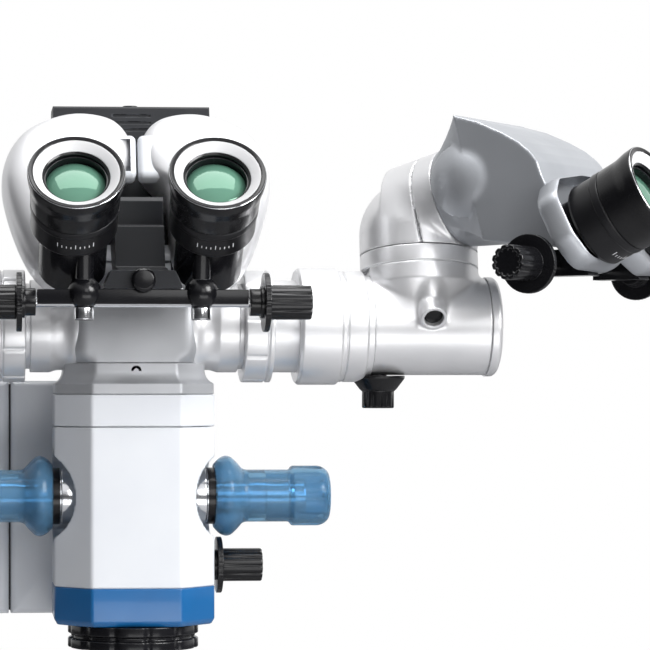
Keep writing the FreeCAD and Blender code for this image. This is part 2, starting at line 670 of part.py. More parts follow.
def elbow_body():
    """Elbow casting: a lying cylinder that flows into the upright branch, with an index boss."""
    lying = along_x(Part.makeCylinder(ELBOW_R, ELBOW_LENGTH), 1, ELBOW_START, 0, PORT_Z)
    flare = turned([(0, 0), (ELBOW_R - 1, 0), (ELBOW_R + 1.6, 6), (BRANCH_R - 0.6, 15), (BRANCH_R, 20),
                    (BRANCH_R, BRANCH_TOP), (BRANCH_R - 0.7, BRANCH_TOP), (BRANCH_R - 0.7, BRANCH_TOP + SEAM),
                    (BRANCH_R, BRANCH_TOP + SEAM), (BRANCH_R, BRANCH_TOP + BRANCH_RING),
                    (BEARING_R, BRANCH_TOP + BRANCH_RING),
                    (BEARING_R, BRANCH_TOP + BRANCH_RING + BEARING_LENGTH),
                    (0, BRANCH_TOP + BRANCH_RING + BEARING_LENGTH)])
    section = along_x(Part.makeCylinder(SECTION_R + GAP, ELBOW_START), 1, 0, 0, PORT_Z)
    body = lying.fuse(put(flare, branch_placement())).cut(section)
    thread = Part.makeCylinder(LOCK_STEM_R + FIT, LOCK_STEM + 1, Vector(LOCK_X, 0, LOCK_TOP))
    body = body.cut(thread)
    boss_end = Vector(BRANCH_X + 1.4, -27.0, PORT_Z + 3.0)
    boss_axis = Vector(0, -0.8, -0.6)
    rotation = Rotation(Vector(0, 0, 1), boss_axis)
    boss = Part.makeCylinder(6.0, 22, Vector(0, 0, -22))
    body = body.fuse(put(boss, Placement(boss_end, rotation)))
    rib = slab(rounded([(-5.6, -26.5), (5.6, -26.5), (5.6, -12), (-5.6, -12)], [5, 5, 1, 1]),
               PORT_Z + 4, PORT_Z + BRANCH_TOP)
    rib.translate(Vector(BRANCH_X + 1.4, 0, 0))
    body = body.fuse(rib)
    recess = Part.makeCylinder(4.4, 3, Vector(0, 0, -3))
    body = body.cut(put(recess, Placement(boss_end, rotation)))
    for point, direction in elbow_screw_places():
        seat = Part.makeCylinder(1.7 + FIT, 3, Vector(0, 0, -2.2))
        body = body.cut(put(seat, Placement(point, Rotation(Vector(0, 0, 1), direction))))
    return body


def elbow_screw_places():
    """Where the elbow's grub screws sit on the lying cylinder."""
    places = []
    for x in (ELBOW_START + 3.5, ELBOW_END - 4.5):
        for angle in (-42, 42):
            y, z = polar(ELBOW_R, angle)
            places.append((Vector(x, -y, PORT_Z + z), Vector(0, -y, z).normalize()))
    return places


def elbow_screws():
    """Grub screws of the elbow, each with a socket."""
    screws = []
    for point, direction in elbow_screw_places():
        screw = turned([(0, -2.2), (1.7, -2.2), (1.7, -0.1), (0.8, -0.1), (0.8, -1.4), (0, -1.4)])
        screws.append(put(screw, Placement(point, Rotation(Vector(0, 0, 1), direction))))
    return Part.makeCompound(screws)


def elbow_cap():
    """Cap on the far end of the elbow."""
    start = ELBOW_END + FIT
    profile = [(0, start), (ELBOW_R + 0.6, start), (ELBOW_R + 0.6, start + ELBOW_CAP - 1.5),
               (ELBOW_R - 0.9, start + ELBOW_CAP), (0, start + ELBOW_CAP)]
    return along_x(turned(profile), 1, 0, 0, PORT_Z)


def elbow_lock():
    """Lock knob under the elbow: a threaded stem, a cone and a fluted end."""
    profile = [(0, -15), (6.8, -15), (7.4, -14.2), (7.4, -7.2), (8.4, -6.4), (LOCK_CONE_R, -1.2), (LOCK_CONE_R, 0),
               (LOCK_STEM_R, 0), (LOCK_STEM_R, LOCK_STEM), (0, LOCK_STEM)]
    knob = turned(profile)
    for index in range(KNOB_FLUTES):
        x, y = polar(7.4 + 0.3, index * 360 / KNOB_FLUTES)
        knob = knob.cut(Part.makeCylinder(0.9, 6.4, Vector(x, y, -15)))
    knob.translate(Vector(LOCK_X, 0, LOCK_TOP))
    return knob


def neck_frame(distance):
    """Frame on the assistant's neck axis, Z along it, at a distance ahead of the pivot."""
    rise = leaned(ASSIST_NECK_RISE)
    local = Placement(toward(ASSIST_NECK_RISE) * distance, rise)
    return assist_frame().multiply(local)


def assist_frame():
    """Frame of the assistant's tube: pivot at the origin, eyepieces towards -Y."""
    return Placement(ASSIST_PIVOT, Rotation(Vector(0, 0, 1), ASSIST_TURN))


def elbow_dome():
    """Turning dome on the branch with the neck that carries the assistant's tube."""
    base = BRANCH_TOP + BRANCH_RING + GAP
    shank = Part.makeCylinder(BRANCH_R, DOME_SHANK, Vector(0, 0, base))
    ball = Part.makeSphere(BRANCH_R, Vector(0, 0, base + DOME_SHANK))
    ball = ball.cut(Part.makeCylinder(2 * BRANCH_R, base + BRANCH_R, Vector(0, 0, DOME_SHANK - BRANCH_R)))
    dome = put(shank.fuse(ball), branch_placement())
    seat = neck_frame(-ASSIST_NECK_BACK - GAP)
    neck = Part.makeCylinder(NECK_R, BRANCH_R, Vector(0, 0, -BRANCH_R))
    ahead = Part.makeCylinder(3 * BRANCH_R, 3 * BRANCH_R)
    dome = dome.fuse(put(neck, seat)).cut(put(ahead, seat))
    below = Part.makeCylinder(3 * BRANCH_R, base)
    bearing = Part.makeCylinder(BEARING_R + FIT, BEARING_LENGTH + GAP, Vector(0, 0, base - GAP))
    dome = dome.cut(put(below.fuse(bearing), branch_placement()))
    return dome.fuse(put(Part.makeCylinder(BEARING_R, BEARING_LENGTH), seat))


def barrel(start):
    """Eyepiece tube about Z from a start distance, with a shoulder behind the dioptre ring."""
    end = RING_START + RING_LENGTH + CUP_LENGTH - 5
    seat = end - EYE_LENS_THICKNESS - 1.5
    return turned([(BARREL_BORE, start), (BARREL_R, start), (BARREL_R, end), (LENS_R + FIT, end),
                   (LENS_R + FIT, seat), (BARREL_BORE, seat)])


def eye_lens():
    """Eye lens in the mouth of the eyepiece tube."""
    end = RING_START + RING_LENGTH + CUP_LENGTH - 5
    lens = lens_blank(LENS_R, EYE_LENS_THICKNESS + 1, EYE_LENS_THICKNESS - 1.5)
    lens.translate(Vector(0, 0, end - EYE_LENS_THICKNESS - 1.5))
    return lens


def dioptre_ring():
    """Dioptre ring about Z with a knurl-free band between two shallow steps."""
    z0 = RING_START
    z1 = RING_START + RING_LENGTH
    bore = BARREL_R + FIT
    return turned([(bore, z0), (RING_R - 1.6, z0), (RING_R - 0.4, z0 + 1.6), (RING_R - 0.4, z1 - 4),
                   (RING_R, z1 - 3.4), (RING_R, z1), (bore, z1)])


def eyecup():
    """Eyecup about Z: it flares to the rim and has a conical inner face."""
    z0 = RING_START + RING_LENGTH + GAP
    z1 = z0 + CUP_LENGTH
    bore = BARREL_R + FIT
    return turned([(bore, z0), (RING_R, z0), (RING_R + 0.3, z1 - 10), (CUP_RIM_R - 0.3, z1 - 5),
                   (CUP_RIM_R, z1 - 0.8), (CUP_RIM_R - 0.6, z1), (CUP_RIM_R - 2.2, z1),
                   (BARREL_R - 1.4, z1 - 3.6), (BARREL_R - 1.4, z1 - 4.6), (bore, z1 - 4.6)])


def pillow(wire, depth, centre, share):
    """Loft of a closed outline over a depth, drawn in at both ends along a quarter ellipse."""
    sections = []
    for step in (-1.0, -0.9, -0.6, 0.0, 0.6, 0.9, 1.0):
        scale = 1 - share * (1 - math.sqrt(1 - step * step))
        copy = wire.copy()
        copy.scale(scale, Vector(centre[0], centre[1], 0))
        sections.append(lifted(copy, depth * (step + 1) / 2))
    return Part.makeLoft(sections, True, False)


def lobe_frame(depth):
    """Frame of the surgeon's prism lobes at a depth behind their front plane."""
    origin = Vector(0, EYE_Y, EYE_Z) - toward(LOBE_TILT) * depth
    return Placement(origin, leaned(LOBE_TILT))


def eye_frame(side):
    """Frame on one eyepiece axis of the surgeon's tube."""
    return Placement(Vector(side * PUPIL_HALF, EYE_Y, EYE_Z), leaned(EYE_TILT))


def main_lobe(side):
    """Egg shaped prism housing that carries one of the surgeon's eyepieces."""
    curve = Part.BSplineCurve()
    curve.interpolate([Vector(x, y, 0) for x, y in LOBE_OUTLINE], PeriodicFlag=True)
    lobe = pillow(Part.Wire(curve.toShape()), LOBE_DEPTH, LOBE_CENTRE, LOBE_ROUND)
    lobe = put(lobe, lobe_frame(LOBE_DEPTH))
    if side < 0:
        lobe = mirrored(lobe)
    seat = Part.makeCylinder(BARREL_R + FIT, 60, Vector(0, 0, -6))
    return lobe.cut(put(seat, eye_frame(side)))


def drive_bar(y, z):
    """Guide bar along X, open below, for the pupil distance spindle at y and z."""
    z0 = z - SPINDLE_R + 1.2
    bar = box(-BAR_HALF, BAR_HALF, y - BAR_WIDTH / 2, y + BAR_WIDTH / 2, z0, z0 + BAR_HEIGHT)
    groove = SPINDLE_R + FIT
    return bar.cut(box(-BAR_HALF - 1, BAR_HALF + 1, y - groove, y + groove, z0 - 1, z + groove))


def drive_spindle(y, z):
    """Spindle with a fluted knob on each end."""
    spindle = Part.makeCylinder(SPINDLE_R, 2 * KNOB_SEAT_X, Vector(0, 0, -KNOB_SEAT_X))
    spindle = along_x(spindle, 1, 0, y, z)
    for side in (-1, 1):
        collar = Part.makeCylinder(KNOB_BASE_R - 1, 6, Vector(0, 0, 0))
        spindle = spindle.fuse(along_x(collar, side, side * KNOB_SEAT_X, y, z))
        spindle = spindle.fuse(along_x(fluted_knob(), side, side * (KNOB_SEAT_X + 4.6), y, z))
    return spindle


def bar_window(x0, x1, y, z):
    """Opening that lets a carrier run along the bar and the spindle."""
    z0 = z - SPINDLE_R + 1.2
    slot = box(x0, x1, y - BAR_WIDTH / 2 - FIT, y + BAR_WIDTH / 2 + FIT, z0 - FIT, z0 + BAR_HEIGHT + FIT)
    run = Part.makeCylinder(SPINDLE_R + FIT, x1 - x0)
    return slot.fuse(along_x(run, 1, x0, y, z))


def main_carrier(side):
    """Ball shaped carrier on the bar, with a post to the eyepiece tube and a stud below."""
    x = side * CARRIER_X
    ball = Part.makeSphere(CARRIER_R, Vector(x, SPINDLE_Y, SPINDLE_Z + 4.2))
    post = Part.makeCylinder(4.0, 16, Vector(x, SPINDLE_Y, SPINDLE_Z + 6), toward(90 - 14))
    stud = Part.makeCylinder(STUD_R, STUD_LENGTH, Vector(x, SPINDLE_Y, SPINDLE_Z - 1.2 - STUD_LENGTH))
    carrier = ball.fuse(post).fuse(stud)
    carrier = carrier.cut(bar_window(x - 20, x + 20, SPINDLE_Y, SPINDLE_Z))
    tube = Part.makeCylinder(BARREL_R + 0.02, 60, Vector(0, 0, -6))
    carrier = carrier.cut(put(tube, eye_frame(side)))
    return carrier


def main_base():
    """Foot of the surgeon's tube: a dovetail flange, a block and the knuckle of the tilt."""
    z0 = HEAD_Z1
    flange = turned([(0, z0), (TUBE_FLANGE_R, z0), (TUBE_FLANGE_R - 1.6, z0 + TUBE_FLANGE / 2),
                     (TUBE_FLANGE_R, z0 + TUBE_FLANGE - 0.8), (TUBE_FLANGE_R - 0.8, z0 + TUBE_FLANGE),
                     (0, z0 + TUBE_FLANGE)])
    flange = flange.common(box(-40, 40, -23, 40, z0, z0 + TUBE_FLANGE))
    block = box(-KNUCKLE_HALF, KNUCKLE_HALF, HINGE_Y - KNUCKLE_R, HINGE_Y + 12, z0 + TUBE_FLANGE - 1, HINGE_Z)
    top = Part.makeCylinder(KNUCKLE_R, 2 * KNUCKLE_HALF)
    top = along_x(top, 1, -KNUCKLE_HALF, HINGE_Y, HINGE_Z)
    keep = box(-40, 40, HINGE_Y - 18, HINGE_Y + 18, z0, HINGE_Z - 8)
    body = flange.fuse(block.common(keep)).fuse(top)
    pin = Part.makeCylinder(PIN_R + FIT, 4 * KNUCKLE_HALF)
    return body.cut(along_x(pin, 1, -2 * KNUCKLE_HALF, HINGE_Y, HINGE_Z))


def tilt_pin():
    """Pin of the tilt, through both cheeks of the housing and the knuckle."""
    pin = Part.makeCylinder(PIN_R, 2 * HOUSING_HALF)
    return along_x(pin, 1, -HOUSING_HALF, HINGE_Y, HINGE_Z)


def sideways(wire, half):
    """Prism of a side profile, drawn as forward distance and height, from -half to half along X."""
    solid = Part.Face(wire).extrude(Vector(0, 0, 2 * half))
    rotation = Rotation(Vector(0, -1, 0), Vector(0, 0, 1), Vector(-1, 0, 0), "XYZ")
    return put(solid, Placement(Vector(half, 0, 0), rotation))


def main_housing():
    """Dark housing behind the lobes with two hinge cheeks, a central pillar and the bracket."""
    front = Vector(0, EYE_Y, EYE_Z) - toward(LOBE_TILT) * (LOBE_DEPTH + SEAM)
    slope = math.tan(math.radians(LOBE_TILT))

    def front_at(z):
        return -(front.y + slope * (z - front.z))

    low = HINGE_Z - KNUCKLE_R
    profile = [(front_at(HINGE_Z - 6), HINGE_Z - 6), (front_at(HOUSING_TOP), HOUSING_TOP),
               (-HOUSING_BACK, HOUSING_TOP), (-HOUSING_BACK, HINGE_Z + 4), (-HINGE_Y - 8, low),
               (-HINGE_Y + 8, low)]
    body = sideways(rounded(profile, [2, 1.5, 3, 8, 9, 9]), HOUSING_HALF)
    slot = KNUCKLE_HALF + GAP
    body = body.cut(box(-slot, slot, -60, 60, low - 1, HINGE_Z))
    body = body.cut(along_x(Part.makeCylinder(KNUCKLE_R + KNUCKLE_CLEAR, 2 * slot), 1, -slot, HINGE_Y, HINGE_Z))
    body = body.fuse(sideways(rounded(PILLAR_PROFILE, 0.6), PILLAR_HALF))
    wedge = [(-17.6, 0), (17.6, 0), (14.0, 8), (-14.0, 8)]
    bracket = slab(rounded(wedge, 0.8), 0, 22)
    rotation = Rotation(Vector(1, 0, 0), Vector(0, 0, 1), Vector(0, -1, 0), "XYZ")
    body = body.fuse(put(bracket, Placement(Vector(0, 22 - BRACKET_FRONT, BRACKET_Z), rotation)))
    for side in (-1, 1):
        for index in range(4):
            x0 = side * HOUSING_HALF - 0.8
            y0 = -front_at(HOUSING_TOP) + 3 + index * 3.2
            body = body.cut(box(x0, x0 + 1.6, y0, y0 + 1.4, HOUSING_TOP - 8, HOUSING_TOP + 1))
    for index in range(3):
        z0 = HOUSING_TOP - 5 - index * 3.4
        body = body.cut(box(-9, 9, -front_at(z0) - 1, -front_at(z0) + 1.0, z0, z0 + 1.2))
    body = body.fuse(Part.makeCylinder(3.4, 2.2, Vector(0, 22, HOUSING_TOP - 1.2)))
    pin = Part.makeCylinder(PIN_R + FIT, 4 * HOUSING_HALF)
    body = body.cut(along_x(pin, 1, -2 * HOUSING_HALF, HINGE_Y, HINGE_Z))
    screw = Part.makeCylinder(2.0 + FIT, 10, Vector(0, -60, LOCK_Z), Vector(0, -1, 0))
    return body.cut(screw)


def main_lock():
    """Small round lock knob on the front of the bracket, with its stem."""
    front = BRACKET_FRONT + GAP
    knob = turned([(0, 0), (LOCK_KNOB_R, 0), (LOCK_KNOB_R, 3.2), (LOCK_KNOB_R - 1.2, 4.6), (0, 5.0)])
    stem = Part.makeCylinder(2.0, 8, Vector(0, 0, -8))
    rotation = Rotation(Vector(0, 0, 1), Vector(0, -1, 0))
    return put(knob.fuse(stem), Placement(Vector(0, -front, LOCK_Z), rotation))


def assist_face(distance, n):
    """Forward distance and height of a point at a distance along the eyepiece direction."""
    tilt = math.radians(ASSIST_EYE_TILT)
    return (distance * math.cos(tilt) - n * math.sin(tilt),
            distance * math.sin(tilt) + n * math.cos(tilt))


def assist_housing():
    """Silver housing of the assistant's tube: a wedge with a flared root and round side bosses."""
    wedge = sideways(rounded(ASSIST_PROFILE, ASSIST_PROFILE_RADII), ASSIST_HALF)
    top, low = 29.0, -28.9
    circle = rounded([(-NECK_R, -NECK_R), (NECK_R, -NECK_R), (NECK_R, NECK_R), (-NECK_R, NECK_R)],
                     NECK_R - 0.02)
    square = rounded([(-ASSIST_HALF, low), (ASSIST_HALF, low), (ASSIST_HALF, top), (-ASSIST_HALF, top)], 2)
    flare = Part.makeLoft([lifted(circle, -ASSIST_NECK_BACK), lifted(square, ASSIST_REAR + 0.2)], True, True)
    flare = put(flare, Placement(Vector(0, 0, 0), leaned(ASSIST_NECK_RISE)))
    body = wedge.fuse(flare)
    ball = (ASSIST_BULGE_R ** 2 + ASSIST_BULGE ** 2) / (2 * ASSIST_BULGE)
    for side in (-1, 1):
        cap = Part.makeSphere(ball, Vector(side * (ASSIST_HALF + ASSIST_BULGE - ball), 0, 0))
        keep = along_x(Part.makeCylinder(ASSIST_BULGE_R, 12), side, side * (ASSIST_HALF - 8), 0, 0)
        body = body.fuse(cap.common(keep))
    bearing = Part.makeCylinder(BEARING_R + FIT, BEARING_LENGTH + 2 * GAP, Vector(0, 0, -ASSIST_NECK_BACK - GAP))
    body = body.cut(put(bearing, Placement(Vector(0, 0, 0), leaned(ASSIST_NECK_RISE))))
    return body


def assist_eye_frame(side):
    """Frame on one eyepiece axis of the assistant's tube, in its local frame."""
    along = ASSIST_FACE_E + ASSIST_LOBE_DEPTH - RING_START + GAP
    forward, height = assist_face(along, ASSIST_AXIS_N)
    return Placement(Vector(side * PUPIL_HALF, -forward, height), leaned(ASSIST_EYE_TILT))


def assist_lobe(side):
    """Rounded prism housing that carries one of the assistant's eyepieces."""
    wire = rounded(ASSIST_LOBE_OUTLINE, ASSIST_LOBE_RADII)
    lobe = pillow(wire, ASSIST_LOBE_DEPTH, ASSIST_LOBE_CENTRE, ASSIST_LOBE_ROUND)
    lobe = put(lobe, Placement(toward(ASSIST_EYE_TILT) * (ASSIST_FACE_E + GAP), leaned(ASSIST_EYE_TILT)))
    if side < 0:
        lobe = mirrored(lobe)
    seat = Part.makeCylinder(BARREL_R + FIT, 60, Vector(0, 0, ASSIST_BARREL_START))
    return lobe.cut(put(seat, assist_eye_frame(side)))


def assist_carrier(side):
    """Carrier between the assistant's bar and the lobe's back."""
    x = side * CARRIER_X
    y = -ASSIST_SPINDLE_S
    block = box(x - 5, x + 5, y - 18, y + 6, ASSIST_SPINDLE_Z - 4.6, ASSIST_SPINDLE_Z + 7.0)
    block = block.cut(bar_window(x - 20, x + 20, y, ASSIST_SPINDLE_Z))
    forward, height = assist_face(ASSIST_FACE_E + GAP, ASSIST_AXIS_N)
    reach = box(-80, 80, -60, 60, 0, 60)
    block = block.cut(put(reach, Placement(Vector(0, -forward, height), leaned(ASSIST_EYE_TILT))))
    return block


def assist_bar(housing):
    """Guide bar of the assistant's tube with the bracket that hangs it from the housing."""
    y = -ASSIST_SPINDLE_S
    z0 = ASSIST_SPINDLE_Z - SPINDLE_R + 1.2 + BAR_HEIGHT
    bracket = box(-10, 10, y - BAR_WIDTH / 2, y + BAR_WIDTH / 2, z0 - 0.5, z0 + 9)
    return drive_bar(y, ASSIST_SPINDLE_Z).fuse(bracket.cut(housing))


def column_parts():
    """Nodes of the column, its optics and its controls."""
    block = head_block()
    return {"column_housing": column_housing(), "base_band": base_band(),
            "objective_mount": objective_mount(), "objective_cell": objective_cell(),
            "objective_lens": objective_lens(), "mag_drum": mag_drum(), "drum_lenses": drum_lenses(),
            "hand_knobs": hand_knobs(), "sterile_covers": sterile_covers(), "focus_knob": focus_knob(),
            "column_collar": column_collar(), "coupling_ring": coupling_ring(),
            "coupling_screws": coupling_screws(), "head_block": block,
            "rear_housing": rear_housing(), "stand_flange": stand_flange(),
            "side_port_right": side_port(1, block), "side_port_left": side_port(-1, block),
            "port_clamp_right": port_clamp(1), "port_clamp_left": port_clamp(-1), "port_cap": port_cap()}


def arm_parts():
    """Nodes of the assistant's arm."""
    return {"arm_tube": arm_tube(), "elbow_body": elbow_body(), "elbow_cap": elbow_cap(),
            "elbow_screws": elbow_screws(), "elbow_lock": elbow_lock(), "elbow_dome": elbow_dome()}


def main_tube_parts():
    """Nodes of the surgeon's tube."""
    parts = {"main_base": main_base(), "tilt_pin": tilt_pin(), "main_housing": main_housing(),
             "main_bar": drive_bar(SPINDLE_Y, SPINDLE_Z), "main_spindle": drive_spindle(SPINDLE_Y, SPINDLE_Z),
             "main_lock": main_lock()}
    for name, side in (("left", -1), ("right", 1)):
        frame = eye_frame(side)
        parts["main_lobe_" + name] = main_lobe(side)
        parts["main_carrier_" + name] = main_carrier(side)
        parts["main_barrel_" + name] = put(barrel(-6), frame)
        parts["main_dioptre_" + name] = put(dioptre_ring(), frame)
        parts["main_eyecup_" + name] = put(eyecup(), frame)
        parts["main_lens_" + name] = put(eye_lens(), frame)
    return parts


def assist_tube_parts():
    """Nodes of the assistant's tube."""
    housing = assist_housing()
    y = -ASSIST_SPINDLE_S
    local = {"assist_housing": housing, "assist_bar": assist_bar(housing),
             "assist_spindle": drive_spindle(y, ASSIST_SPINDLE_Z)}
    for name, side in (("left", -1), ("right", 1)):
        frame = assist_eye_frame(side)
        local["assist_lobe_" + name] = assist_lobe(side)
        local["assist_carrier_" + name] = assist_carrier(side)
        local["assist_barrel_" + name] = put(barrel(ASSIST_BARREL_START), frame)
        local["assist_dioptre_" + name] = put(dioptre_ring(), frame)
        local["assist_eyecup_" + name] = put(eyecup(), frame)
        local["assist_lens_" + name] = put(eye_lens(), frame)
    return {name: put(shape, assist_frame()) for name, shape in local.items()}


def main():
    """Write every node to its own file."""
    os.makedirs("parts", exist_ok=True)
    nodes = {}
    for group in (column_parts(), arm_parts(), main_tube_parts(), assist_tube_parts()):
        nodes.update(group)
    for name, shape in nodes.items():
        shape.exportStep(os.path.join("parts", name + ".step"))
        print(name, len(shape.Solids), shape.isValid(), round(shape.Volume))
    print(len(nodes), "nodes")


main()
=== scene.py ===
"""Looks of a surgical microscope head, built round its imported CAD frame.

Sizes in the classes are millimetres in the row frame: +Z up the optical axis, the surgeon looks
from -Y, the assistant's arm leaves towards +X. Meshes are written in metres.
"""
import logging
import math
from dataclasses import dataclass, field
from enum import Enum
from typing import Callable, Iterable, Optional, Sequence

import bpy
import numpy as np
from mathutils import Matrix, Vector
from numpy.typing import NDArray


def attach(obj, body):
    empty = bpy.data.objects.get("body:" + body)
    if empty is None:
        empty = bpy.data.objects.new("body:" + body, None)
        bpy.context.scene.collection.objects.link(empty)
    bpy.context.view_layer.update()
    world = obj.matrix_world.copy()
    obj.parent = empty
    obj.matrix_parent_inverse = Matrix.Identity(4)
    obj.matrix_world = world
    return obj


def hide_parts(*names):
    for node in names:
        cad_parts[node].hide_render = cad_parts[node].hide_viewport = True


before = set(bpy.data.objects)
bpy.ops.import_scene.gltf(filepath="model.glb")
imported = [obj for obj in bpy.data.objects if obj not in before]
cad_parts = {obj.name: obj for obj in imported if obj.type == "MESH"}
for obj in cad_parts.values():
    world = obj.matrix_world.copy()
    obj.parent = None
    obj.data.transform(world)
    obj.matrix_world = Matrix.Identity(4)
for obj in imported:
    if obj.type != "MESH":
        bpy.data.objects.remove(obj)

Array = NDArray[np.float64]
Pair = tuple[float, float]
Triple = tuple[float, float, float]
Wave = Callable[[Array, Array, Array], Array]

MILLIMETRE = 0.001
SMOOTH_BELOW = math.radians(38)
SIDES = (("right", 1), ("left", -1))
KNOB_LEVEL = 69.0
PORT_LEVEL = 147.0
EYE_HALF = 30.0
log = logging.getLogger("microscope")
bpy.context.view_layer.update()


# Places and directions

@dataclass(frozen=True)
class Frame:
    """An origin and three unit axes."""

    origin: Array
    x: Array
    y: Array
    z: Array

    def place(self, points: Array) -> Array:
        """Carries local points into the space that the frame stands in."""
        return (self.origin + points[..., 0:1] * self.x + points[..., 1:2] * self.y
                + points[..., 2:3] * self.z)

    def local(self, points: Array) -> Array:
        """Gives points of the outer space in the frame's own coordinates."""
        moved = points - self.origin
        return np.stack([moved @ self.x, moved @ self.y, moved @ self.z], axis=-1)

    def within(self, other: "Frame") -> "Frame":
        """Carries this frame into the space that another frame stands in."""
        turn = np.stack([other.x, other.y, other.z])
        return Frame(other.origin + self.origin @ turn, self.x @ turn, self.y @ turn, self.z @ turn)

    def shifted(self, distance: float) -> "Frame":
        """Moves the origin along the frame's own Z."""
        return Frame(self.origin + self.z * distance, self.x, self.y, self.z)


def vector(x: float, y: float, z: float) -> Array:
    """Makes an array from three numbers."""
    return np.array([x, y, z], dtype=float)


def frame_along(direction: Sequence[float], origin: Sequence[float] = (0.0, 0.0, 0.0)) -> Frame:
    """Makes a frame whose Z follows a direction.

    Args:
        direction: Where Z points.
        origin: Where the frame stands.

    Returns:
        The frame, with X as level as it can be.
    """
    z = np.array(direction, dtype=float)
    z = z / np.linalg.norm(z)
    helper = vector(0, 0, 1) if abs(z[2]) < 0.9 else vector(0, -1, 0)
    x = np.cross(helper, z)
    x = x / np.linalg.norm(x)
    return Frame(np.array(origin, dtype=float), x, np.cross(z, x), z)


def leaned_frame(rise: float, origin: Sequence[float] = (0.0, 0.0, 0.0)) -> Frame:
    """Makes a frame whose Z points to -Y and rises by an angle in degrees, with X level."""
    angle = math.radians(rise)
    return Frame(np.array(origin, dtype=float), vector(1, 0, 0),
                 vector(0, math.sin(angle), math.cos(angle)),
                 vector(0, -math.cos(angle), math.sin(angle)))


def standing(x: float, y: float, z: float) -> Frame:
    """Makes a frame at a point, with the axes of the row frame."""
    return Frame(vector(x, y, z), vector(1, 0, 0), vector(0, 1, 0), vector(0, 0, 1))


UPRIGHT = standing(0, 0, 0)


def on_x(side: float, y: float, z: float) -> Frame:
    """Makes a frame whose Z runs along +X or -X at a level."""
    return Frame(vector(0, y, z), vector(0, side, 0), vector(0, 0, 1), vector(side, 0, 0))


# Surfaces

@dataclass
class Surface:
    """Points and faces of one surface; triangles repeat their last corner."""

    points: Array
    faces: NDArray[np.int64]

    def placed(self, place: Frame) -> "Surface":
        """Gives the surface carried by a frame."""
        return Surface(place.place(self.points), self.faces)

    def mirrored(self) -> "Surface":
        """Gives the mirror image in the YZ plane, with the faces turned to keep pointing outwards."""
        return Surface(self.points * vector(-1, 1, 1), self.faces[:, ::-1])


def joined(parts: Sequence[Surface]) -> Surface:
    """Puts several surfaces into one, with their faces numbered on."""
    starts = np.cumsum([0] + [len(part.points) for part in parts[:-1]])
    points = np.concatenate([part.points for part in parts])
    faces = np.concatenate([part.faces + start for part, start in zip(parts, starts)])
    return Surface(points, faces)


def grid_surface(grid: Array, ring: bool = False) -> Surface:
    """Makes quads between the points of a grid whose columns always close into a loop.

    Args:
        grid: Rows of loops, of shape rows x columns x 3.
        ring: Joins the last row to the first. Otherwise both end rows get a fan to their middle.

    Returns:
        The surface.
    """
    rows, columns = grid.shape[:2]
    number = np.arange(rows * columns).reshape(rows, columns)
    upper = np.roll(number, -1, axis=0) if ring else number[1:]
    lower = number if ring else number[:-1]
    quads = np.stack([lower, np.roll(lower, -1, axis=1), np.roll(upper, -1, axis=1), upper], axis=-1)
    faces = [quads.reshape(-1, 4)]
    points = [grid.reshape(-1, 3)]
    for end, row in enumerate(() if ring else (number[0], number[-1])):
        points.append(grid[-1 if end else 0].mean(axis=0)[None])
        centre = np.full(columns, rows * columns + end)
        ahead = np.roll(row, -1)
        faces.append(np.stack([centre, row, ahead, ahead] if end else [centre, ahead, row, row], axis=-1))
    return Surface(np.concatenate(points), np.concatenate(faces))


def eased_profile(corners: Sequence[Sequence[float]], steps: int = 4) -> Array:
    """Rounds the corners of an open line.

    Each corner is (radius, height, rounding). The rounding replaces the corner by a curve that
    starts and ends that far from it along its two sides: points (1-t)^2 A + 2t(1-t) C + t^2 B.

    Args:
        corners: The corners in order.
        steps: Number of pieces in each curve.

    Returns:
        Points as rows of radius and height.
    """
    line = np.array([corner[:2] for corner in corners], dtype=float)
    points = [line[:1]]
    share = np.linspace(0, 1, steps + 1)[:, None]
    for index in range(1, len(line) - 1):
        corner = line[index]
        ease = corners[index][2] if len(corners[index]) > 2 else 0.0
        before, after = line[index - 1] - corner, line[index + 1] - corner
        reach_before = min(ease, np.linalg.norm(before) * 0.49)
        reach_after = min(ease, np.linalg.norm(after) * 0.49)
        if ease <= 0:
            points.append(corner[None])
            continue
        start = corner + before / np.linalg.norm(before) * reach_before
        end = corner + after / np.linalg.norm(after) * reach_after
        points.append((1 - share) ** 2 * start + 2 * share * (1 - share) * corner + share ** 2 * end)
    points.append(line[-1:])
    return np.concatenate(points)


def turned(corners: Sequence[Sequence[float]], place: Frame = UPRIGHT, around: int = 96,
           wave: Optional[Wave] = None, steps: int = 4) -> Surface:
    """Carries a profile round the Z axis: (r, h) goes to (r cos a, r sin a, h) for every angle a.

    Args:
        corners: The profile as (radius, height, rounding), outside of the piece on its right hand.
        place: Frame that the turned piece stands in.
        around: Number of columns.
        wave: Optional change of the radius from radius, angle and height, for flutes and scallops.
        steps: Number of pieces in each rounded corner.

    Returns:
        The surface, closed on the axis where the profile meets it.
    """
    profile = eased_profile(corners, steps)
    angle = np.arange(around) * 2 * math.pi / around
    radius = np.repeat(profile[:, 0:1], around, axis=1)
    height = np.repeat(profile[:, 1:2], around, axis=1)
    if wave is not None:
        radius = np.where(radius > 1e-6, wave(radius, angle[None, :], height), radius)
    grid = np.stack([radius * np.cos(angle), radius * np.sin(angle), height], axis=-1)
    ring = bool(np.allclose(profile[0], profile[-1]))
    if ring:
        return grid_surface(grid[:-1], ring=True).placed(place)
    first, last = profile[0, 0] < 1e-6, profile[-1, 0] < 1e-6
    grid = grid[(1 if first else 0):(-1 if last else None)]
    return grid_surface(grid).placed(place)


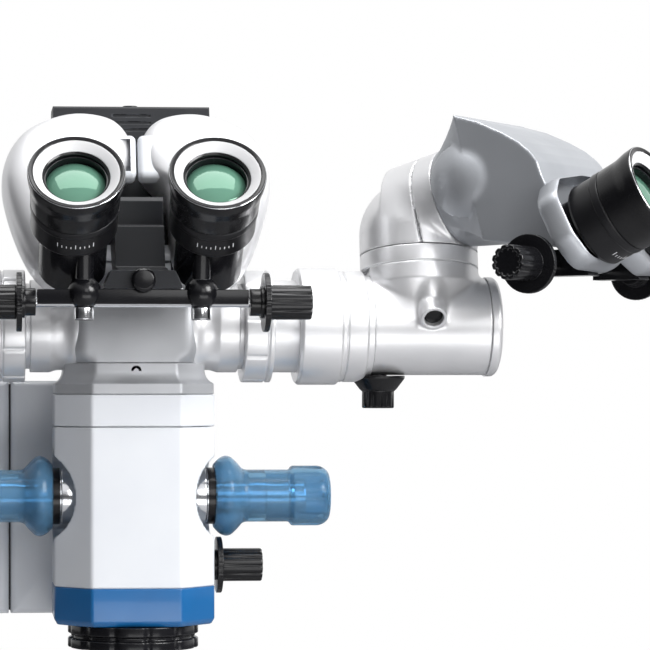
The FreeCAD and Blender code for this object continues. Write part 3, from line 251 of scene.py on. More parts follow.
def flutes(count: int, depth: float, low: float, high: float, sharp: float = 1.0, fade: float = 0.6,
           phase: float = 0.0) -> Wave:
    """Makes a wave of grooves: r falls by depth times ((1 + cos(n a)) / 2) ^ sharp between two levels.

    Args:
        count: Number of grooves.
        depth: How deep they are.
        low: Level where they begin.
        high: Level where they end.
        sharp: Larger values make narrow grooves with wide lands.
        fade: Length over which each end runs out.
        phase: Angle of the first groove in degrees.

    Returns:
        A function of radius, angle and height that gives the new radius.
    """
    def change(radius: Array, angle: Array, height: Array) -> Array:
        """Applies the grooves."""
        ripple = ((1 + np.cos(count * (angle - math.radians(phase)))) / 2) ** sharp
        start = np.clip((height - low) / fade, 0, 1)
        end = np.clip((high - height) / fade, 0, 1)
        return radius - depth * ripple * start * end
    return change


def beyond(limit: float, wave: Wave) -> Wave:
    """Keeps a wave to radii over a limit, so that it cuts only the outside of a hollow piece."""
    def change(radius: Array, angle: Array, height: Array) -> Array:
        """Applies the wave where the radius is over the limit."""
        return np.where(radius > limit, wave(radius, angle, height), radius)
    return change


def outline_points(corners: Sequence[Pair], radii: Sequence[float], arc: int = 8,
                   along: int = 1) -> Array:
    """Gives a closed outline with round corners as evenly counted points.

    Each corner becomes an arc of its radius, and each straight side is cut into equal lengths, so
    outlines made with the same counts match point for point.

    Args:
        corners: The corners, anticlockwise.
        radii: A radius for each corner.
        arc: Pieces in each arc.
        along: Pieces in each straight side.

    Returns:
        Points as rows of two numbers.
    """
    points = np.array(corners, dtype=float)
    arcs = []
    for index, corner in enumerate(points):
        before = points[index - 1] - corner
        after = points[(index + 1) % len(points)] - corner
        before, after = before / np.linalg.norm(before), after / np.linalg.norm(after)
        half = math.acos(float(np.clip(before @ after, -1, 1))) / 2
        radius = radii[index]
        middle = corner + (before + after) / np.linalg.norm(before + after) * radius / math.sin(half)
        start = corner + before * radius / math.tan(half) - middle
        end = corner + after * radius / math.tan(half) - middle
        first = math.atan2(start[1], start[0])
        sweep = (math.atan2(end[1], end[0]) - first + math.pi) % (2 * math.pi) - math.pi
        turn = first + sweep * np.linspace(0, 1, arc + 1)
        arcs.append(middle + radius * np.stack([np.cos(turn), np.sin(turn)], axis=-1))
    rows = []
    for index, curve in enumerate(arcs):
        following = arcs[(index + 1) % len(arcs)][0]
        share = np.linspace(0, 1, along + 1)[1:-1, None]
        rows += [curve, curve[-1] * (1 - share) + following * share]
    return np.concatenate(rows)


def stacked(loops: Sequence[Array], levels: Sequence[float]) -> Array:
    """Stands flat outlines of the same count on their levels, as a grid of points."""
    return np.stack([np.concatenate([loop, np.full((len(loop), 1), level)], axis=1)
                     for loop, level in zip(loops, levels)])


def rectangle(low: Sequence[float], high: Sequence[float], inset: float = 0.0) -> list[Pair]:
    """Gives the corners of a rectangle, drawn in by an inset."""
    left, front, right, back = low[0] + inset, low[1] + inset, high[0] - inset, high[1] - inset
    return [(left, front), (right, front), (right, back), (left, back)]


def octagon(half: float, front: float, back: float, cut: float) -> list[Pair]:
    """Gives the corners of the column's eight sided outline."""
    return [(-half + cut, -front), (half - cut, -front), (half, -front + cut), (half, back - cut),
            (half - cut, back), (-half + cut, back), (-half, back - cut), (-half, -front + cut)]


def rounded_block(low: Triple, high: Triple, edge: float, place: Frame = UPRIGHT) -> Surface:
    """Makes a block whose edges are quarter rounds: a rectangle with round corners, drawn in by
    e (1 - cos a) while it climbs by e (1 - sin a), at the bottom and again at the top."""
    levels, loops = [], []
    quarter = np.linspace(0, math.pi / 2, 5)
    inset = edge * (1 - np.sin(quarter))
    climb = edge * (1 - np.cos(quarter))
    for height, shrink in zip(np.concatenate([low[2] + climb, high[2] - climb[::-1]]),
                              np.concatenate([inset, inset[::-1]])):
        loops.append(outline_points(rectangle(low, high, shrink), [max(edge - shrink, 0.02)] * 4, arc=4))
        levels.append(height)
    return grid_surface(stacked(loops, levels)).placed(place)


# Distance fields for castings

def blended(first: Array, second: Array, fillet: float) -> Array:
    """Unites two distances with a fillet: min(a, b) less h^2 k / 4, where h falls with |a - b| / k."""
    share = np.clip(1 - np.abs(first - second) / fillet, 0, 1)
    return np.minimum(first, second) - share ** 2 * fillet / 4


def cut_away(body: Array, tool: Array, fillet: float = 0.4) -> Array:
    """Takes a tool's distance out of a body, with a small rounding along the edge of the cut."""
    return -blended(-body, tool, fillet)


def crossed_walls(first: Array, second: Array) -> Array:
    """Gives the distance to what two walls at right angles enclose, from the distance to each."""
    outside = np.hypot(np.maximum(first, 0), np.maximum(second, 0))
    return np.minimum(np.maximum(first, second), 0) + outside


def round_bar(points: Array, place: Frame, radius: float, low: float, high: float,
              edge: float = 0.5) -> Array:
    """Gives the distance to a cylinder on a frame's Z, with rounded end edges."""
    near = place.local(points)
    side = np.hypot(near[..., 0], near[..., 1]) - radius + edge
    end = np.maximum(low - near[..., 2], near[..., 2] - high) + edge
    return crossed_walls(side, end) - edge


def ball(points: Array, centre: Array, radius: float) -> Array:
    """Gives the distance to a sphere."""
    return np.linalg.norm(points - centre, axis=-1) - radius


def polygon_distance(flat: Array, corners: Sequence[Pair]) -> Array:
    """Gives the signed distance to a flat polygon: the nearest side, negative inside by winding."""
    points = np.array(corners, dtype=float)
    nearest = np.full(flat.shape[:-1], 1e9)
    inside = np.zeros(flat.shape[:-1], dtype=bool)
    for start, end in zip(points, np.roll(points, -1, axis=0)):
        side = end - start
        reach = flat - start
        share = np.clip((reach @ side) / (side @ side), 0, 1)
        nearest = np.minimum(nearest, np.linalg.norm(reach - share[..., None] * side, axis=-1))
        straddle = (start[1] > flat[..., 1]) != (end[1] > flat[..., 1])
        rise = side[1] if side[1] != 0 else 1e-9
        inside ^= straddle & (flat[..., 0] < start[0] + side[0] * (flat[..., 1] - start[1]) / rise)
    return np.where(inside, -nearest, nearest)


def netted(distance: Callable[[Array], Array], low: Sequence[float], high: Sequence[float],
           cell: float) -> Surface:
    """Makes the surface where a distance field is zero, as a net of quads.

    Each cell that the surface crosses gets one point, the mean of the crossings on its edges, which
    is then moved along the gradient until the field is zero there. Each crossed grid edge gets a
    quad between the four cells round it.

    Args:
        distance: The field, as a function of points.
        low: Lowest corner of the space searched.
        high: Highest corner.
        cell: Size of a cell.

    Returns:
        The surface.
    """
    axes = [np.arange(a - cell, b + 2 * cell, cell) for a, b in zip(low, high)]
    value = distance(np.stack(np.meshgrid(*axes, indexing="ij"), axis=-1))
    shape = np.array(value.shape) - 1
    total = np.zeros((*shape, 3))
    count = np.zeros(shape)
    corners = [(i, j, k) for i in (0, 1) for j in (0, 1) for k in (0, 1)]

    def corner_values(corner: tuple[int, int, int]) -> Array:
        """Gives the field at one corner of every cell."""
        return value[tuple(slice(c, c + n) for c, n in zip(corner, shape))]

    for first in corners:
        for axis in range(3):
            if first[axis]:
                continue
            second = tuple(c + (index == axis) for index, c in enumerate(first))
            a, b = corner_values(first), corner_values(second)
            crossed = (a < 0) != (b < 0)
            share = np.where(crossed, a / np.where(crossed, a - b, 1.0), 0.0)
            spot = np.broadcast_to(np.array(first, dtype=float), total.shape).copy()
            spot[..., axis] += share
            total += np.where(crossed[..., None], spot, 0)
            count += crossed
    used = count > 0
    number = np.full(shape, -1)
    number[used] = np.arange(used.sum())
    start = np.array([axis[0] for axis in axes])
    points = start + cell * (np.argwhere(used) + total[used] / count[used][:, None])
    probe, flattest = 0.02, 0.2
    for _ in range(3):
        here = distance(points)
        slope = np.stack([(distance(points + step) - here) / probe for step in np.eye(3) * probe], axis=-1)
        size = np.maximum((slope ** 2).sum(axis=-1, keepdims=True), flattest)
        points = points - np.clip(here[:, None] * slope / size, -0.5 * cell, 0.5 * cell)
    faces = []
    for axis in range(3):
        across, up = (axis + 1) % 3, (axis + 2) % 3
        sliced = [slice(None)] * 3
        sliced[axis] = slice(0, -1)
        ahead = [slice(None)] * 3
        ahead[axis] = slice(1, None)
        near, far = value[tuple(sliced)] < 0, value[tuple(ahead)] < 0
        for crossing, turn in ((near & ~far, 1), (~near & far, -1)):
            at = np.argwhere(crossing)
            cells = []
            for move_across, move_up in ((-1, -1), (0, -1), (0, 0), (-1, 0)):
                shift = np.zeros(3, dtype=int)
                shift[across], shift[up] = move_across, move_up
                cells.append(number[tuple((at + shift).T)])
            faces.append(np.stack(cells, axis=-1)[:, ::turn])
    return Surface(points, np.concatenate(faces))


# Objects

def build(name: str, surface: Surface, finish: bpy.types.Material, body: str,
          stands_for: Sequence[str] = (), smooth: float = SMOOTH_BELOW) -> None:
    """Writes a surface into a mesh object that rides on a body.

    Args:
        name: Name of the piece.
        surface: Points in millimetres and faces.
        finish: Its material.
        body: The CAD body it rides on.
        stands_for: CAD nodes that it is shown in place of.
        smooth: Faces that meet at less than this angle are shaded as one.
    """
    mesh = bpy.data.meshes.new(name)
    faces = surface.faces
    triangle = faces[:, 2] == faces[:, 3]
    sizes = np.where(triangle, 3, 4)
    keep = np.ones(faces.shape, dtype=bool)
    keep[triangle, 3] = False
    corners = faces[keep]
    mesh.vertices.add(len(surface.points))
    mesh.vertices.foreach_set("co", (surface.points * MILLIMETRE).astype(np.float32).ravel())
    mesh.loops.add(len(corners))
    mesh.loops.foreach_set("vertex_index", corners.astype(np.int32))
    mesh.polygons.add(len(faces))
    mesh.polygons.foreach_set("loop_start", (np.cumsum(sizes) - sizes).astype(np.int32))
    mesh.update(calc_edges=True)
    mesh.validate()
    mesh.shade_smooth()
    mesh.set_sharp_from_angle(angle=smooth)
    mesh.materials.append(finish)
    piece = bpy.data.objects.new(name, mesh)
    bpy.context.scene.collection.objects.link(piece)
    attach(piece, body)
    if stands_for:
        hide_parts(*stands_for)
    log.info("%s: %d faces on %s", name, len(mesh.polygons), body)


def dress(nodes: Iterable[str], finish: bpy.types.Material) -> None:
    """Gives CAD nodes that stay visible their finish."""
    for name in nodes:
        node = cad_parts[name]
        node.data.materials.clear()
        node.data.materials.append(finish)
        log.info("%s keeps its CAD mesh", name)


# Shader groups and finishes

Socket = bpy.types.NodeSocket


class ShaderGraph:
    """A node tree with short ways to add and join nodes."""

    def __init__(self, tree: bpy.types.NodeTree) -> None:
        """Starts from an empty tree."""
        self.tree = tree
        tree.nodes.clear()

    def add(self, kind: str, **settings: object) -> bpy.types.Node:
        """Adds a node of a type and sets its properties."""
        node = self.tree.nodes.new("ShaderNode" + kind)
        for key, value in settings.items():
            setattr(node, key, value)
        return node

    def join(self, source: Socket, target: Socket) -> None:
        """Links an output to an input."""
        self.tree.links.new(source, target)

    def feed(self, target: Socket, value: object) -> None:
        """Links a socket to an input, or sets the input to a plain value."""
        if isinstance(value, bpy.types.NodeSocket):
            self.join(value, target)
        else:
            target.default_value = value

    def math(self, operation: str, *values: object) -> Socket:
        """Adds a Math node on sockets or numbers."""
        node = self.add("Math", operation=operation)
        for target, value in zip(node.inputs, values):
            self.feed(target, value)
        return node.outputs[0]

    def span(self, value: Socket, low: float, high: float, start: float = 0.0, end: float = 1.0) -> Socket:
        """Maps a value from one span to another with its ends held."""
        node = self.add("MapRange")
        self.join(value, node.inputs["Value"])
        for key, number in (("From Min", low), ("From Max", high), ("To Min", start), ("To Max", end)):
            node.inputs[key].default_value = number
        return node.outputs["Result"]

    def mix(self, factor: object, first: object, second: object, blend: str = "MIX") -> Socket:
        """Mixes two colours."""
        node = self.add("Mix", data_type="RGBA", blend_type=blend)
        self.feed(node.inputs["Factor"], factor)
        self.feed(node.inputs["A"], first)
        self.feed(node.inputs["B"], second)
        return next(out for out in node.outputs if out.type == "RGBA")

    def noise(self, place: Socket, scale: object, distortion: float = 0.0) -> Socket:
        """Adds a noise texture and gives its value."""
        node = self.add("TexNoise")
        self.join(place, node.inputs["Vector"])
        self.feed(node.inputs["Scale"], scale)
        node.inputs["Distortion"].default_value = distortion
        return next(out for out in node.outputs if out.name in ("Fac", "Factor"))


def started(name: str) -> tuple[bpy.types.Material, ShaderGraph, bpy.types.Node]:
    """Starts a material and gives it, its graph and its principled surface."""
    made = bpy.data.materials.new(name)
    made.use_nodes = True
    graph = ShaderGraph(made.node_tree)
    output = graph.add("OutputMaterial")
    surface = graph.add("BsdfPrincipled")
    graph.join(surface.outputs["BSDF"], output.inputs["Surface"])
    return made, graph, surface


def shader_group(name: str, inputs: Sequence[tuple[str, str, float]],
                 outputs: Sequence[tuple[str, str]]) -> tuple[ShaderGraph, bpy.types.Node, bpy.types.Node]:
    """Starts a shader group with named sockets.

    Args:
        name: Name of the group.
        inputs: Name, socket type and default of each input.
        outputs: Name and socket type of each output.

    Returns:
        The graph inside, its input node and its output node.
    """
    tree = bpy.data.node_groups.new(name, "ShaderNodeTree")
    graph = ShaderGraph(tree)
    for label, kind, default in inputs:
        socket = tree.interface.new_socket(label, in_out="INPUT", socket_type="NodeSocket" + kind)
        if kind == "Float":
            socket.default_value = default
    for label, kind in outputs:
        tree.interface.new_socket(label, in_out="OUTPUT", socket_type="NodeSocket" + kind)
    return graph, tree.nodes.new("NodeGroupInput"), tree.nodes.new("NodeGroupOutput")


def edge_wear_group() -> bpy.types.NodeTree:
    """Builds the group that finds outer edges and breaks them up with noise.

    The bevelled normal of a round of the given radius is compared with the true one, which differs
    only near edges. Noise makes the worn line uneven. It gives the mask and the rounded normal.
    """
    graph, given, made = shader_group(
        "edge wear", [("Radius", "Float", 0.0006), ("Amount", "Float", 0.6), ("Breakup", "Float", 260.0)],
        [("Mask", "Float"), ("Normal", "Vector")])
    bevel = graph.add("Bevel", samples=6)
    graph.join(given.outputs["Radius"], bevel.inputs["Radius"])
    shape = graph.add("NewGeometry")
    angle = graph.add("VectorMath", operation="DOT_PRODUCT")
    graph.join(bevel.outputs["Normal"], angle.inputs[0])
    graph.join(shape.outputs["Normal"], angle.inputs[1])
    edge = graph.span(angle.outputs["Value"], 0.995, 0.88)
    where = graph.add("TexCoord")
    broken = graph.span(graph.noise(where.outputs["Object"], given.outputs["Breakup"]), 0.42, 0.62)
    mask = graph.math("MULTIPLY", graph.math("MULTIPLY", edge, broken), given.outputs["Amount"])
    graph.join(mask, made.inputs["Mask"])
    graph.join(bevel.outputs["Normal"], made.inputs["Normal"])
    return graph.tree


def grain_group() -> bpy.types.NodeTree:
    """Builds the group for fine surface grain: two noises, one coarse and one four times finer,
    added to a height, and a slow noise that varies colour over centimetres."""
    graph, given, made = shader_group(
        "fine grain", [("Scale", "Float", 900.0), ("Cloud", "Float", 30.0)],
        [("Height", "Float"), ("Cloud", "Float")])
    where = graph.add("TexCoord")
    place, scale = where.outputs["Object"], given.outputs["Scale"]
    fine = graph.noise(place, scale)
    finer = graph.noise(place, graph.math("MULTIPLY", scale, 4.0))
    slow = graph.noise(place, given.outputs["Cloud"])
    graph.join(graph.math("ADD", fine, graph.math("MULTIPLY", finer, 0.5)), made.inputs["Height"])
    graph.join(graph.span(slow, 0.3, 0.7), made.inputs["Cloud"])
    return graph.tree


def handling_group() -> bpy.types.NodeTree:
    """Builds the group for handling marks: stretched noise for wiping streaks and thin scratches
    taken from where a distorted noise crosses its middle value."""
    graph, given, made = shader_group(
        "handling marks", [("Streaks", "Float", 60.0), ("Scratches", "Float", 120.0)],
        [("Smear", "Float"), ("Scratch", "Float")])
    where = graph.add("TexCoord")
    stretch = graph.add("Mapping")
    stretch.inputs["Scale"].default_value = (1.0, 1.0, 0.15)
    graph.join(where.outputs["Object"], stretch.inputs["Vector"])
    streak = graph.noise(stretch.outputs["Vector"], given.outputs["Streaks"])
    scratch = graph.noise(where.outputs["Object"], given.outputs["Scratches"], distortion=2.0)
    line = graph.math("ABSOLUTE", graph.math("SUBTRACT", scratch, 0.5))
    graph.join(graph.span(streak, 0.35, 0.75), made.inputs["Smear"])
    graph.join(graph.span(line, 0.006, 0.0), made.inputs["Scratch"])
    return graph.tree


class Pattern(Enum):
    """What the fine relief of a finish is made of."""

    SMOOTH = "smooth"
    GRAIN = "grain"
    TURNED = "turned"


@dataclass(frozen=True)
class Finish:
    """A finish on metal or plastic; colours are linear."""

    name: str
    colour: Triple
    second: Triple
    worn: Triple
    roughness: float
    metallic: float = 0.0
    coat: float = 0.0
    pattern: Pattern = Pattern.GRAIN
    grain_scale: float = 900.0
    grain_depth: float = 0.00002
    wear: float = 0.5
    edge_radius: float = 0.0004
    smear: float = 0.06
    specular: float = 0.5

    def material(self, groups: dict[str, bpy.types.NodeTree]) -> bpy.types.Material:
        """Builds the material from the shared groups.

        Args:
            groups: The shader groups by name.

        Returns:
            The material.
        """
        made, graph, surface = started(self.name)

        def placed(name: str, **values: float) -> bpy.types.Node:
            """Places a shared group with this finish's values."""
            node = graph.add("Group", node_tree=groups[name])
            for key, value in values.items():
                node.inputs[key.replace("_", " ")].default_value = value
            return node

        edge = placed("edge wear", Radius=self.edge_radius, Amount=self.wear)
        grain = placed("fine grain", Scale=self.grain_scale)
        marks = placed("handling marks")
        base = graph.mix(grain.outputs["Cloud"], (*self.colour, 1), (*self.second, 1))
        graph.join(graph.mix(edge.outputs["Mask"], base, (*self.worn, 1)), surface.inputs["Base Color"])
        rough = graph.math("MULTIPLY", marks.outputs["Smear"], self.smear)
        rough = graph.math("ADD", rough, self.roughness)
        graph.join(graph.math("ADD", rough, graph.math("MULTIPLY", marks.outputs["Scratch"], 0.08)),
                   surface.inputs["Roughness"])
        surface.inputs["Metallic"].default_value = self.metallic
        surface.inputs["Specular IOR Level"].default_value = self.specular
        surface.inputs["Coat Weight"].default_value = self.coat
        surface.inputs["Coat Roughness"].default_value = 0.08
        bump = graph.add("Bump")
        bump.inputs["Strength"].default_value = 0.35
        bump.inputs["Distance"].default_value = self.grain_depth
        if self.pattern is Pattern.TURNED:
            where = graph.add("TexCoord")
            lathe = graph.add("TexWave", wave_type="RINGS", rings_direction="SPHERICAL")
            lathe.inputs["Scale"].default_value = self.grain_scale
            lathe.inputs["Distortion"].default_value = 0.6
            graph.join(where.outputs["Object"], lathe.inputs["Vector"])
            height = graph.math("ADD", lathe.outputs["Fac"], grain.outputs["Height"])
        elif self.pattern is Pattern.SMOOTH:
            height = graph.math("MULTIPLY", grain.outputs["Cloud"], 0.5)
        else:
            height = grain.outputs["Height"]
        graph.join(height, bump.inputs["Height"])
        graph.join(edge.outputs["Normal"], bump.inputs["Normal"])
        graph.join(bump.outputs["Normal"], surface.inputs["Normal"])
        return made


@dataclass(frozen=True)
class CoverPlastic:
    """Translucent blue moulding of the sterile covers."""

    name: str = "translucent cover"
    deep: Triple = (0.17, 0.38, 0.58)
    pale: Triple = (0.30, 0.52, 0.70)

    def material(self, groups: dict[str, bpy.types.NodeTree]) -> bpy.types.Material:
        """Builds the translucent plastic: transmission through a tinted, slightly rough skin."""
        made, graph, surface = started(self.name)
        grain = graph.add("Group", node_tree=groups["fine grain"])
        grain.inputs["Scale"].default_value = 240.0
        marks = graph.add("Group", node_tree=groups["handling marks"])
        graph.join(graph.mix(grain.outputs["Cloud"], (*self.deep, 1), (*self.pale, 1)),
                   surface.inputs["Base Color"])
        graph.join(graph.math("ADD", graph.math("MULTIPLY", marks.outputs["Smear"], 0.08), 0.16),
                   surface.inputs["Roughness"])
        surface.inputs["IOR"].default_value = 1.25
        surface.inputs["Transmission Weight"].default_value = 0.8
        bump = graph.add("Bump")
        bump.inputs["Strength"].default_value = 0.2
        bump.inputs["Distance"].default_value = 0.00003
        graph.join(grain.outputs["Height"], bump.inputs["Height"])
        graph.join(bump.outputs["Normal"], surface.inputs["Normal"])
        return made


@dataclass(frozen=True)
class CoatedGlass:
    """Eye lens with a green anti-reflection coating over a dark tube."""

    name: str = "coated eye lens"
    colour: Triple = (0.10, 0.22, 0.16)
    tint: Triple = (0.55, 1.0, 0.72)

    def material(self, groups: dict[str, bpy.types.NodeTree]) -> bpy.types.Material:
        """Builds the lens: a dark green body, lighter where it faces the camera as a painted reflection, with
        a strong tinted reflection and faint dust.
        """
        made, graph, surface = started(self.name)
        marks = graph.add("Group", node_tree=groups["handling marks"])
        # Painted reflection: the body colour is lighter where the lens faces the camera and darker towards
        # its rim
        painted_reflection_facing = graph.add("LayerWeight")
        painted_reflection_facing.inputs["Blend"].default_value = 0.35
        graph.join(graph.mix(painted_reflection_facing.outputs["Facing"], (*self.colour, 1), (0.05, 0.13, 0.09, 1)),
                   surface.inputs["Base Color"])
        graph.join(graph.math("ADD", graph.math("MULTIPLY", marks.outputs["Smear"], 0.03), 0.02),
                   surface.inputs["Roughness"])
        surface.inputs["Specular IOR Level"].default_value = 0.5
        surface.inputs["IOR"].default_value = 1.5
        surface.inputs["Specular Tint"].default_value = (*self.tint, 1)
        surface.inputs["Coat Weight"].default_value = 0.2
        surface.inputs["Coat Roughness"].default_value = 0.04
        return made


@dataclass
class Palette:
    """Every finish of the microscope, made once."""

    groups: dict[str, bpy.types.NodeTree] = field(default_factory=dict)
    made: dict[str, bpy.types.Material] = field(default_factory=dict)

    def __post_init__(self) -> None:
        """Builds the shared groups and then each finish."""
        self.groups = {"edge wear": edge_wear_group(), "fine grain": grain_group(),
                       "handling marks": handling_group()}
        finishes = [
            Finish("white paint", (0.70, 0.72, 0.75), (0.66, 0.68, 0.72), (0.9, 0.92, 0.94), 0.34, coat=0.25,
                   grain_scale=1500, grain_depth=0.00001, wear=0.25, edge_radius=0.0008),
            Finish("blue band", (0.006, 0.118, 0.33), (0.005, 0.102, 0.29), (0.20, 0.42, 0.70), 0.30,
                   coat=0.35,
                   grain_scale=1500, grain_depth=0.00001, wear=0.4, edge_radius=0.0006),
            Finish("silver paint", (0.78, 0.78, 0.79), (0.71, 0.715, 0.73), (0.94, 0.94, 0.95), 0.33,
                   metallic=0.58, grain_scale=1300, grain_depth=0.00003, wear=0.55, edge_radius=0.0006),
            Finish("assistant silver", (0.42, 0.435, 0.46), (0.36, 0.375, 0.40), (0.92, 0.94, 0.96), 0.38,
                   metallic=0.6, grain_scale=1100, grain_depth=0.00003, wear=0.8, edge_radius=0.0007),
            Finish("cast metal", (0.52, 0.53, 0.55), (0.42, 0.43, 0.45), (0.75, 0.76, 0.78), 0.45,
                   metallic=0.55, grain_scale=800, grain_depth=0.00008, wear=0.5, edge_radius=0.0006),
            # Near-black colour for the surgeon's tube housing: painted shade standing in for the shadow the
            # housing sits in
            Finish("housing casting in painted shade", (0.012, 0.013, 0.016), (0.009, 0.010, 0.012), (0.16, 0.17, 0.19), 0.36,
                   metallic=0.1, specular=0.3, grain_scale=1000, grain_depth=0.00004, wear=0.6,
                   edge_radius=0.0005),
            Finish("black anodised", (0.005, 0.005, 0.006), (0.008, 0.008, 0.010), (0.25, 0.25, 0.27), 0.20,
                   metallic=0.0, coat=0.1, pattern=Pattern.TURNED, grain_scale=700, grain_depth=0.000004,
                   wear=0.35, edge_radius=0.0003, specular=0.28),
            Finish("black moulding", (0.004, 0.004, 0.005), (0.007, 0.007, 0.008), (0.10, 0.10, 0.11), 0.20,
                   grain_scale=1400, grain_depth=0.00001, wear=0.4, edge_radius=0.0004, coat=0.1,
                   specular=0.3),
            Finish("satin black", (0.007, 0.007, 0.008), (0.012, 0.012, 0.014), (0.2, 0.2, 0.22), 0.28,
                   metallic=0.2, specular=0.35, pattern=Pattern.TURNED, grain_scale=900,
                   grain_depth=0.000006, wear=0.4),
            Finish("polished chrome", (0.78, 0.79, 0.81), (0.72, 0.73, 0.75), (0.9, 0.9, 0.92), 0.10,
                   metallic=1.0, pattern=Pattern.TURNED, grain_scale=900, grain_depth=0.000004, wear=0.2,
                   smear=0.1),
            Finish("turned steel", (0.55, 0.56, 0.58), (0.48, 0.49, 0.51), (0.8, 0.8, 0.82), 0.24,
                   metallic=1.0, pattern=Pattern.TURNED, grain_scale=1000, grain_depth=0.00001, wear=0.3),
            Finish("white insert", (0.64, 0.64, 0.65), (0.60, 0.60, 0.61), (0.9, 0.9, 0.9), 0.42,
                   grain_scale=1500, grain_depth=0.000006, wear=0.1),
            Finish("dark seam", (0.010, 0.010, 0.012), (0.014, 0.014, 0.016), (0.02, 0.02, 0.02), 0.6,
                   wear=0.0),
            Finish("marking white", (0.85, 0.86, 0.88), (0.80, 0.81, 0.83), (0.9, 0.9, 0.9), 0.5, wear=0.0),
        ]
        for finish in finishes:
            self.made[finish.name] = finish.material(self.groups)
        for finish in (CoverPlastic(), CoatedGlass()):
            self.made[finish.name] = finish.material(self.groups)

    def __getitem__(self, name: str) -> bpy.types.Material:
        """Gives a finish by its name."""
        return self.made[name]


# Sub-assemblies

def column_loop(inset: float, edge: float = 3.0, along: int = 1) -> Array:
    """Gives the eight sided outline of the column, moved inwards by an inset."""
    half, front, back = 36.6 - inset, 28.0 - inset, 36.0 - inset
    cut = 16.3 - inset * (2 - math.sqrt(2))
    return outline_points(octagon(half, front, back, cut), [edge] * 8, arc=5, along=along)


def column_ring(levels: Sequence[Pair], along: int = 1) -> Array:
    """Stacks column outlines from pairs of level and inset."""
    return stacked([column_loop(inset, along=along) for _, inset in levels], [z for z, _ in levels])


@dataclass
class Column:
    """Lower column, blue band, collar, coupling ring and objective mount."""

    palette: Palette
    band_high: float = 28.4
    shell_high: float = 100.9
    collar_high: float = 115.7
    step_high: float = 123.9
    ring_high: float = 130.3
    knob_level: float = KNOB_LEVEL
    recess_floor: float = 26.3
    recess_radius: float = 22.0
    mount_radius: float = 30.0

    def shell(self) -> Surface:
        """Makes the column wall; near each hand knob |x| is held under a dish: the floor inside
        93 % of the recess radius, then a smooth step s^2 (3 - 2s) out to the wall."""
        levels = [(self.band_high, 0.5), (self.band_high + 0.5, 0.0)]
        levels += [(z, 0.0) for z in np.linspace(self.band_high + 2, self.shell_high - 2, 92)]
        levels += [(self.shell_high - 0.4, 0.0), (self.shell_high, 0.4)]
        grid = column_ring(levels, along=26)
        reach = np.hypot(grid[..., 1], grid[..., 2] - self.knob_level)
        share = np.clip((reach - 0.93 * self.recess_radius) / (0.07 * self.recess_radius), 0, 1)
        share = share ** 2 * (3 - 2 * share)
        limit = self.recess_floor + share * 14.0
        size = np.abs(grid[..., 0])
        deep = np.where(size > self.recess_floor, np.minimum(size, limit), size)
        grid[..., 0] = np.sign(grid[..., 0]) * deep
        return grid_surface(grid)

    def build(self) -> None:
        """Builds every piece of the column."""
        white, blue, cast = self.palette["white paint"], self.palette["blue band"], self.palette["cast metal"]
        build("column_wall", self.shell(), white, "head", ["column_housing"])
        band = column_ring([(11.0, 3.0), (11.0, 1.9), (11.3, 1.3), (13.3, 0.15), (13.9, 0.0), (28.0, 0.0),
                            (28.35, 0.35)])
        build("blue_band", grid_surface(band), blue, "head", ["base_band"])
        collar = column_ring([(self.shell_high - 2, 3.0), (self.shell_high + 0.4, 3.0),
                              (self.shell_high + 0.4, 0.4), (self.shell_high + 0.8, 0.0),
                              (self.collar_high - 0.4, 0.0), (self.collar_high - 0.05, 0.35)])
        build("collar_wall", grid_surface(collar), white, "head",
              ["column_collar"])
        ring = column_ring([(self.collar_high, 0.9), (self.collar_high + 0.5, 0.3),
                            (self.step_high - 3.4, 0.3), (self.step_high - 2.9, 0.8),
                            (self.step_high - 2.4, 1.7),
                            (self.step_high - 1.6, 2.7), (self.step_high - 0.5, 3.5),
                            (self.step_high + 0.9, 4.1),
                            (self.step_high + 2.4, 4.4), (self.ring_high - 0.6, 4.4), (self.ring_high, 5.0)])
        build("coupling_step", grid_surface(ring), cast, "head",
              ["coupling_ring"])
        dress(["coupling_screws"], self.palette["polished chrome"])
        self.build_mount()
        dress(["objective_cell"], self.palette["satin black"])
        dress(["objective_lens", "drum_lenses"], self.palette["coated eye lens"])
        dress(["mag_drum"], self.palette["turned steel"])

    def build_mount(self) -> None:
        """Builds the ribbed black ring with its scallops and its bore."""
        r = self.mount_radius
        corners = [(24.05, 10.9), (24.05, 4.0), (26.0, 4.0, 0.2), (26.0, 0.0, 0.4), (r, 0.0, 0.8),
                   (r, 4.1, 0.5), (r - 1.5, 4.8, 0.3), (r - 1.5, 6.0, 0.3), (r, 6.7, 0.5), (r, 10.8, 0.4),
                   (25.4, 10.8), (25.4, 34.0), (24.05, 34.0), (24.05, 10.9)]
        wave = beyond(27.0, flutes(12, 1.2, -1.0, 12.0, sharp=9.0, phase=10.0))
        build("objective_ring", turned(corners, around=240, wave=wave), self.palette["black anodised"],
              "head", ["objective_mount"])


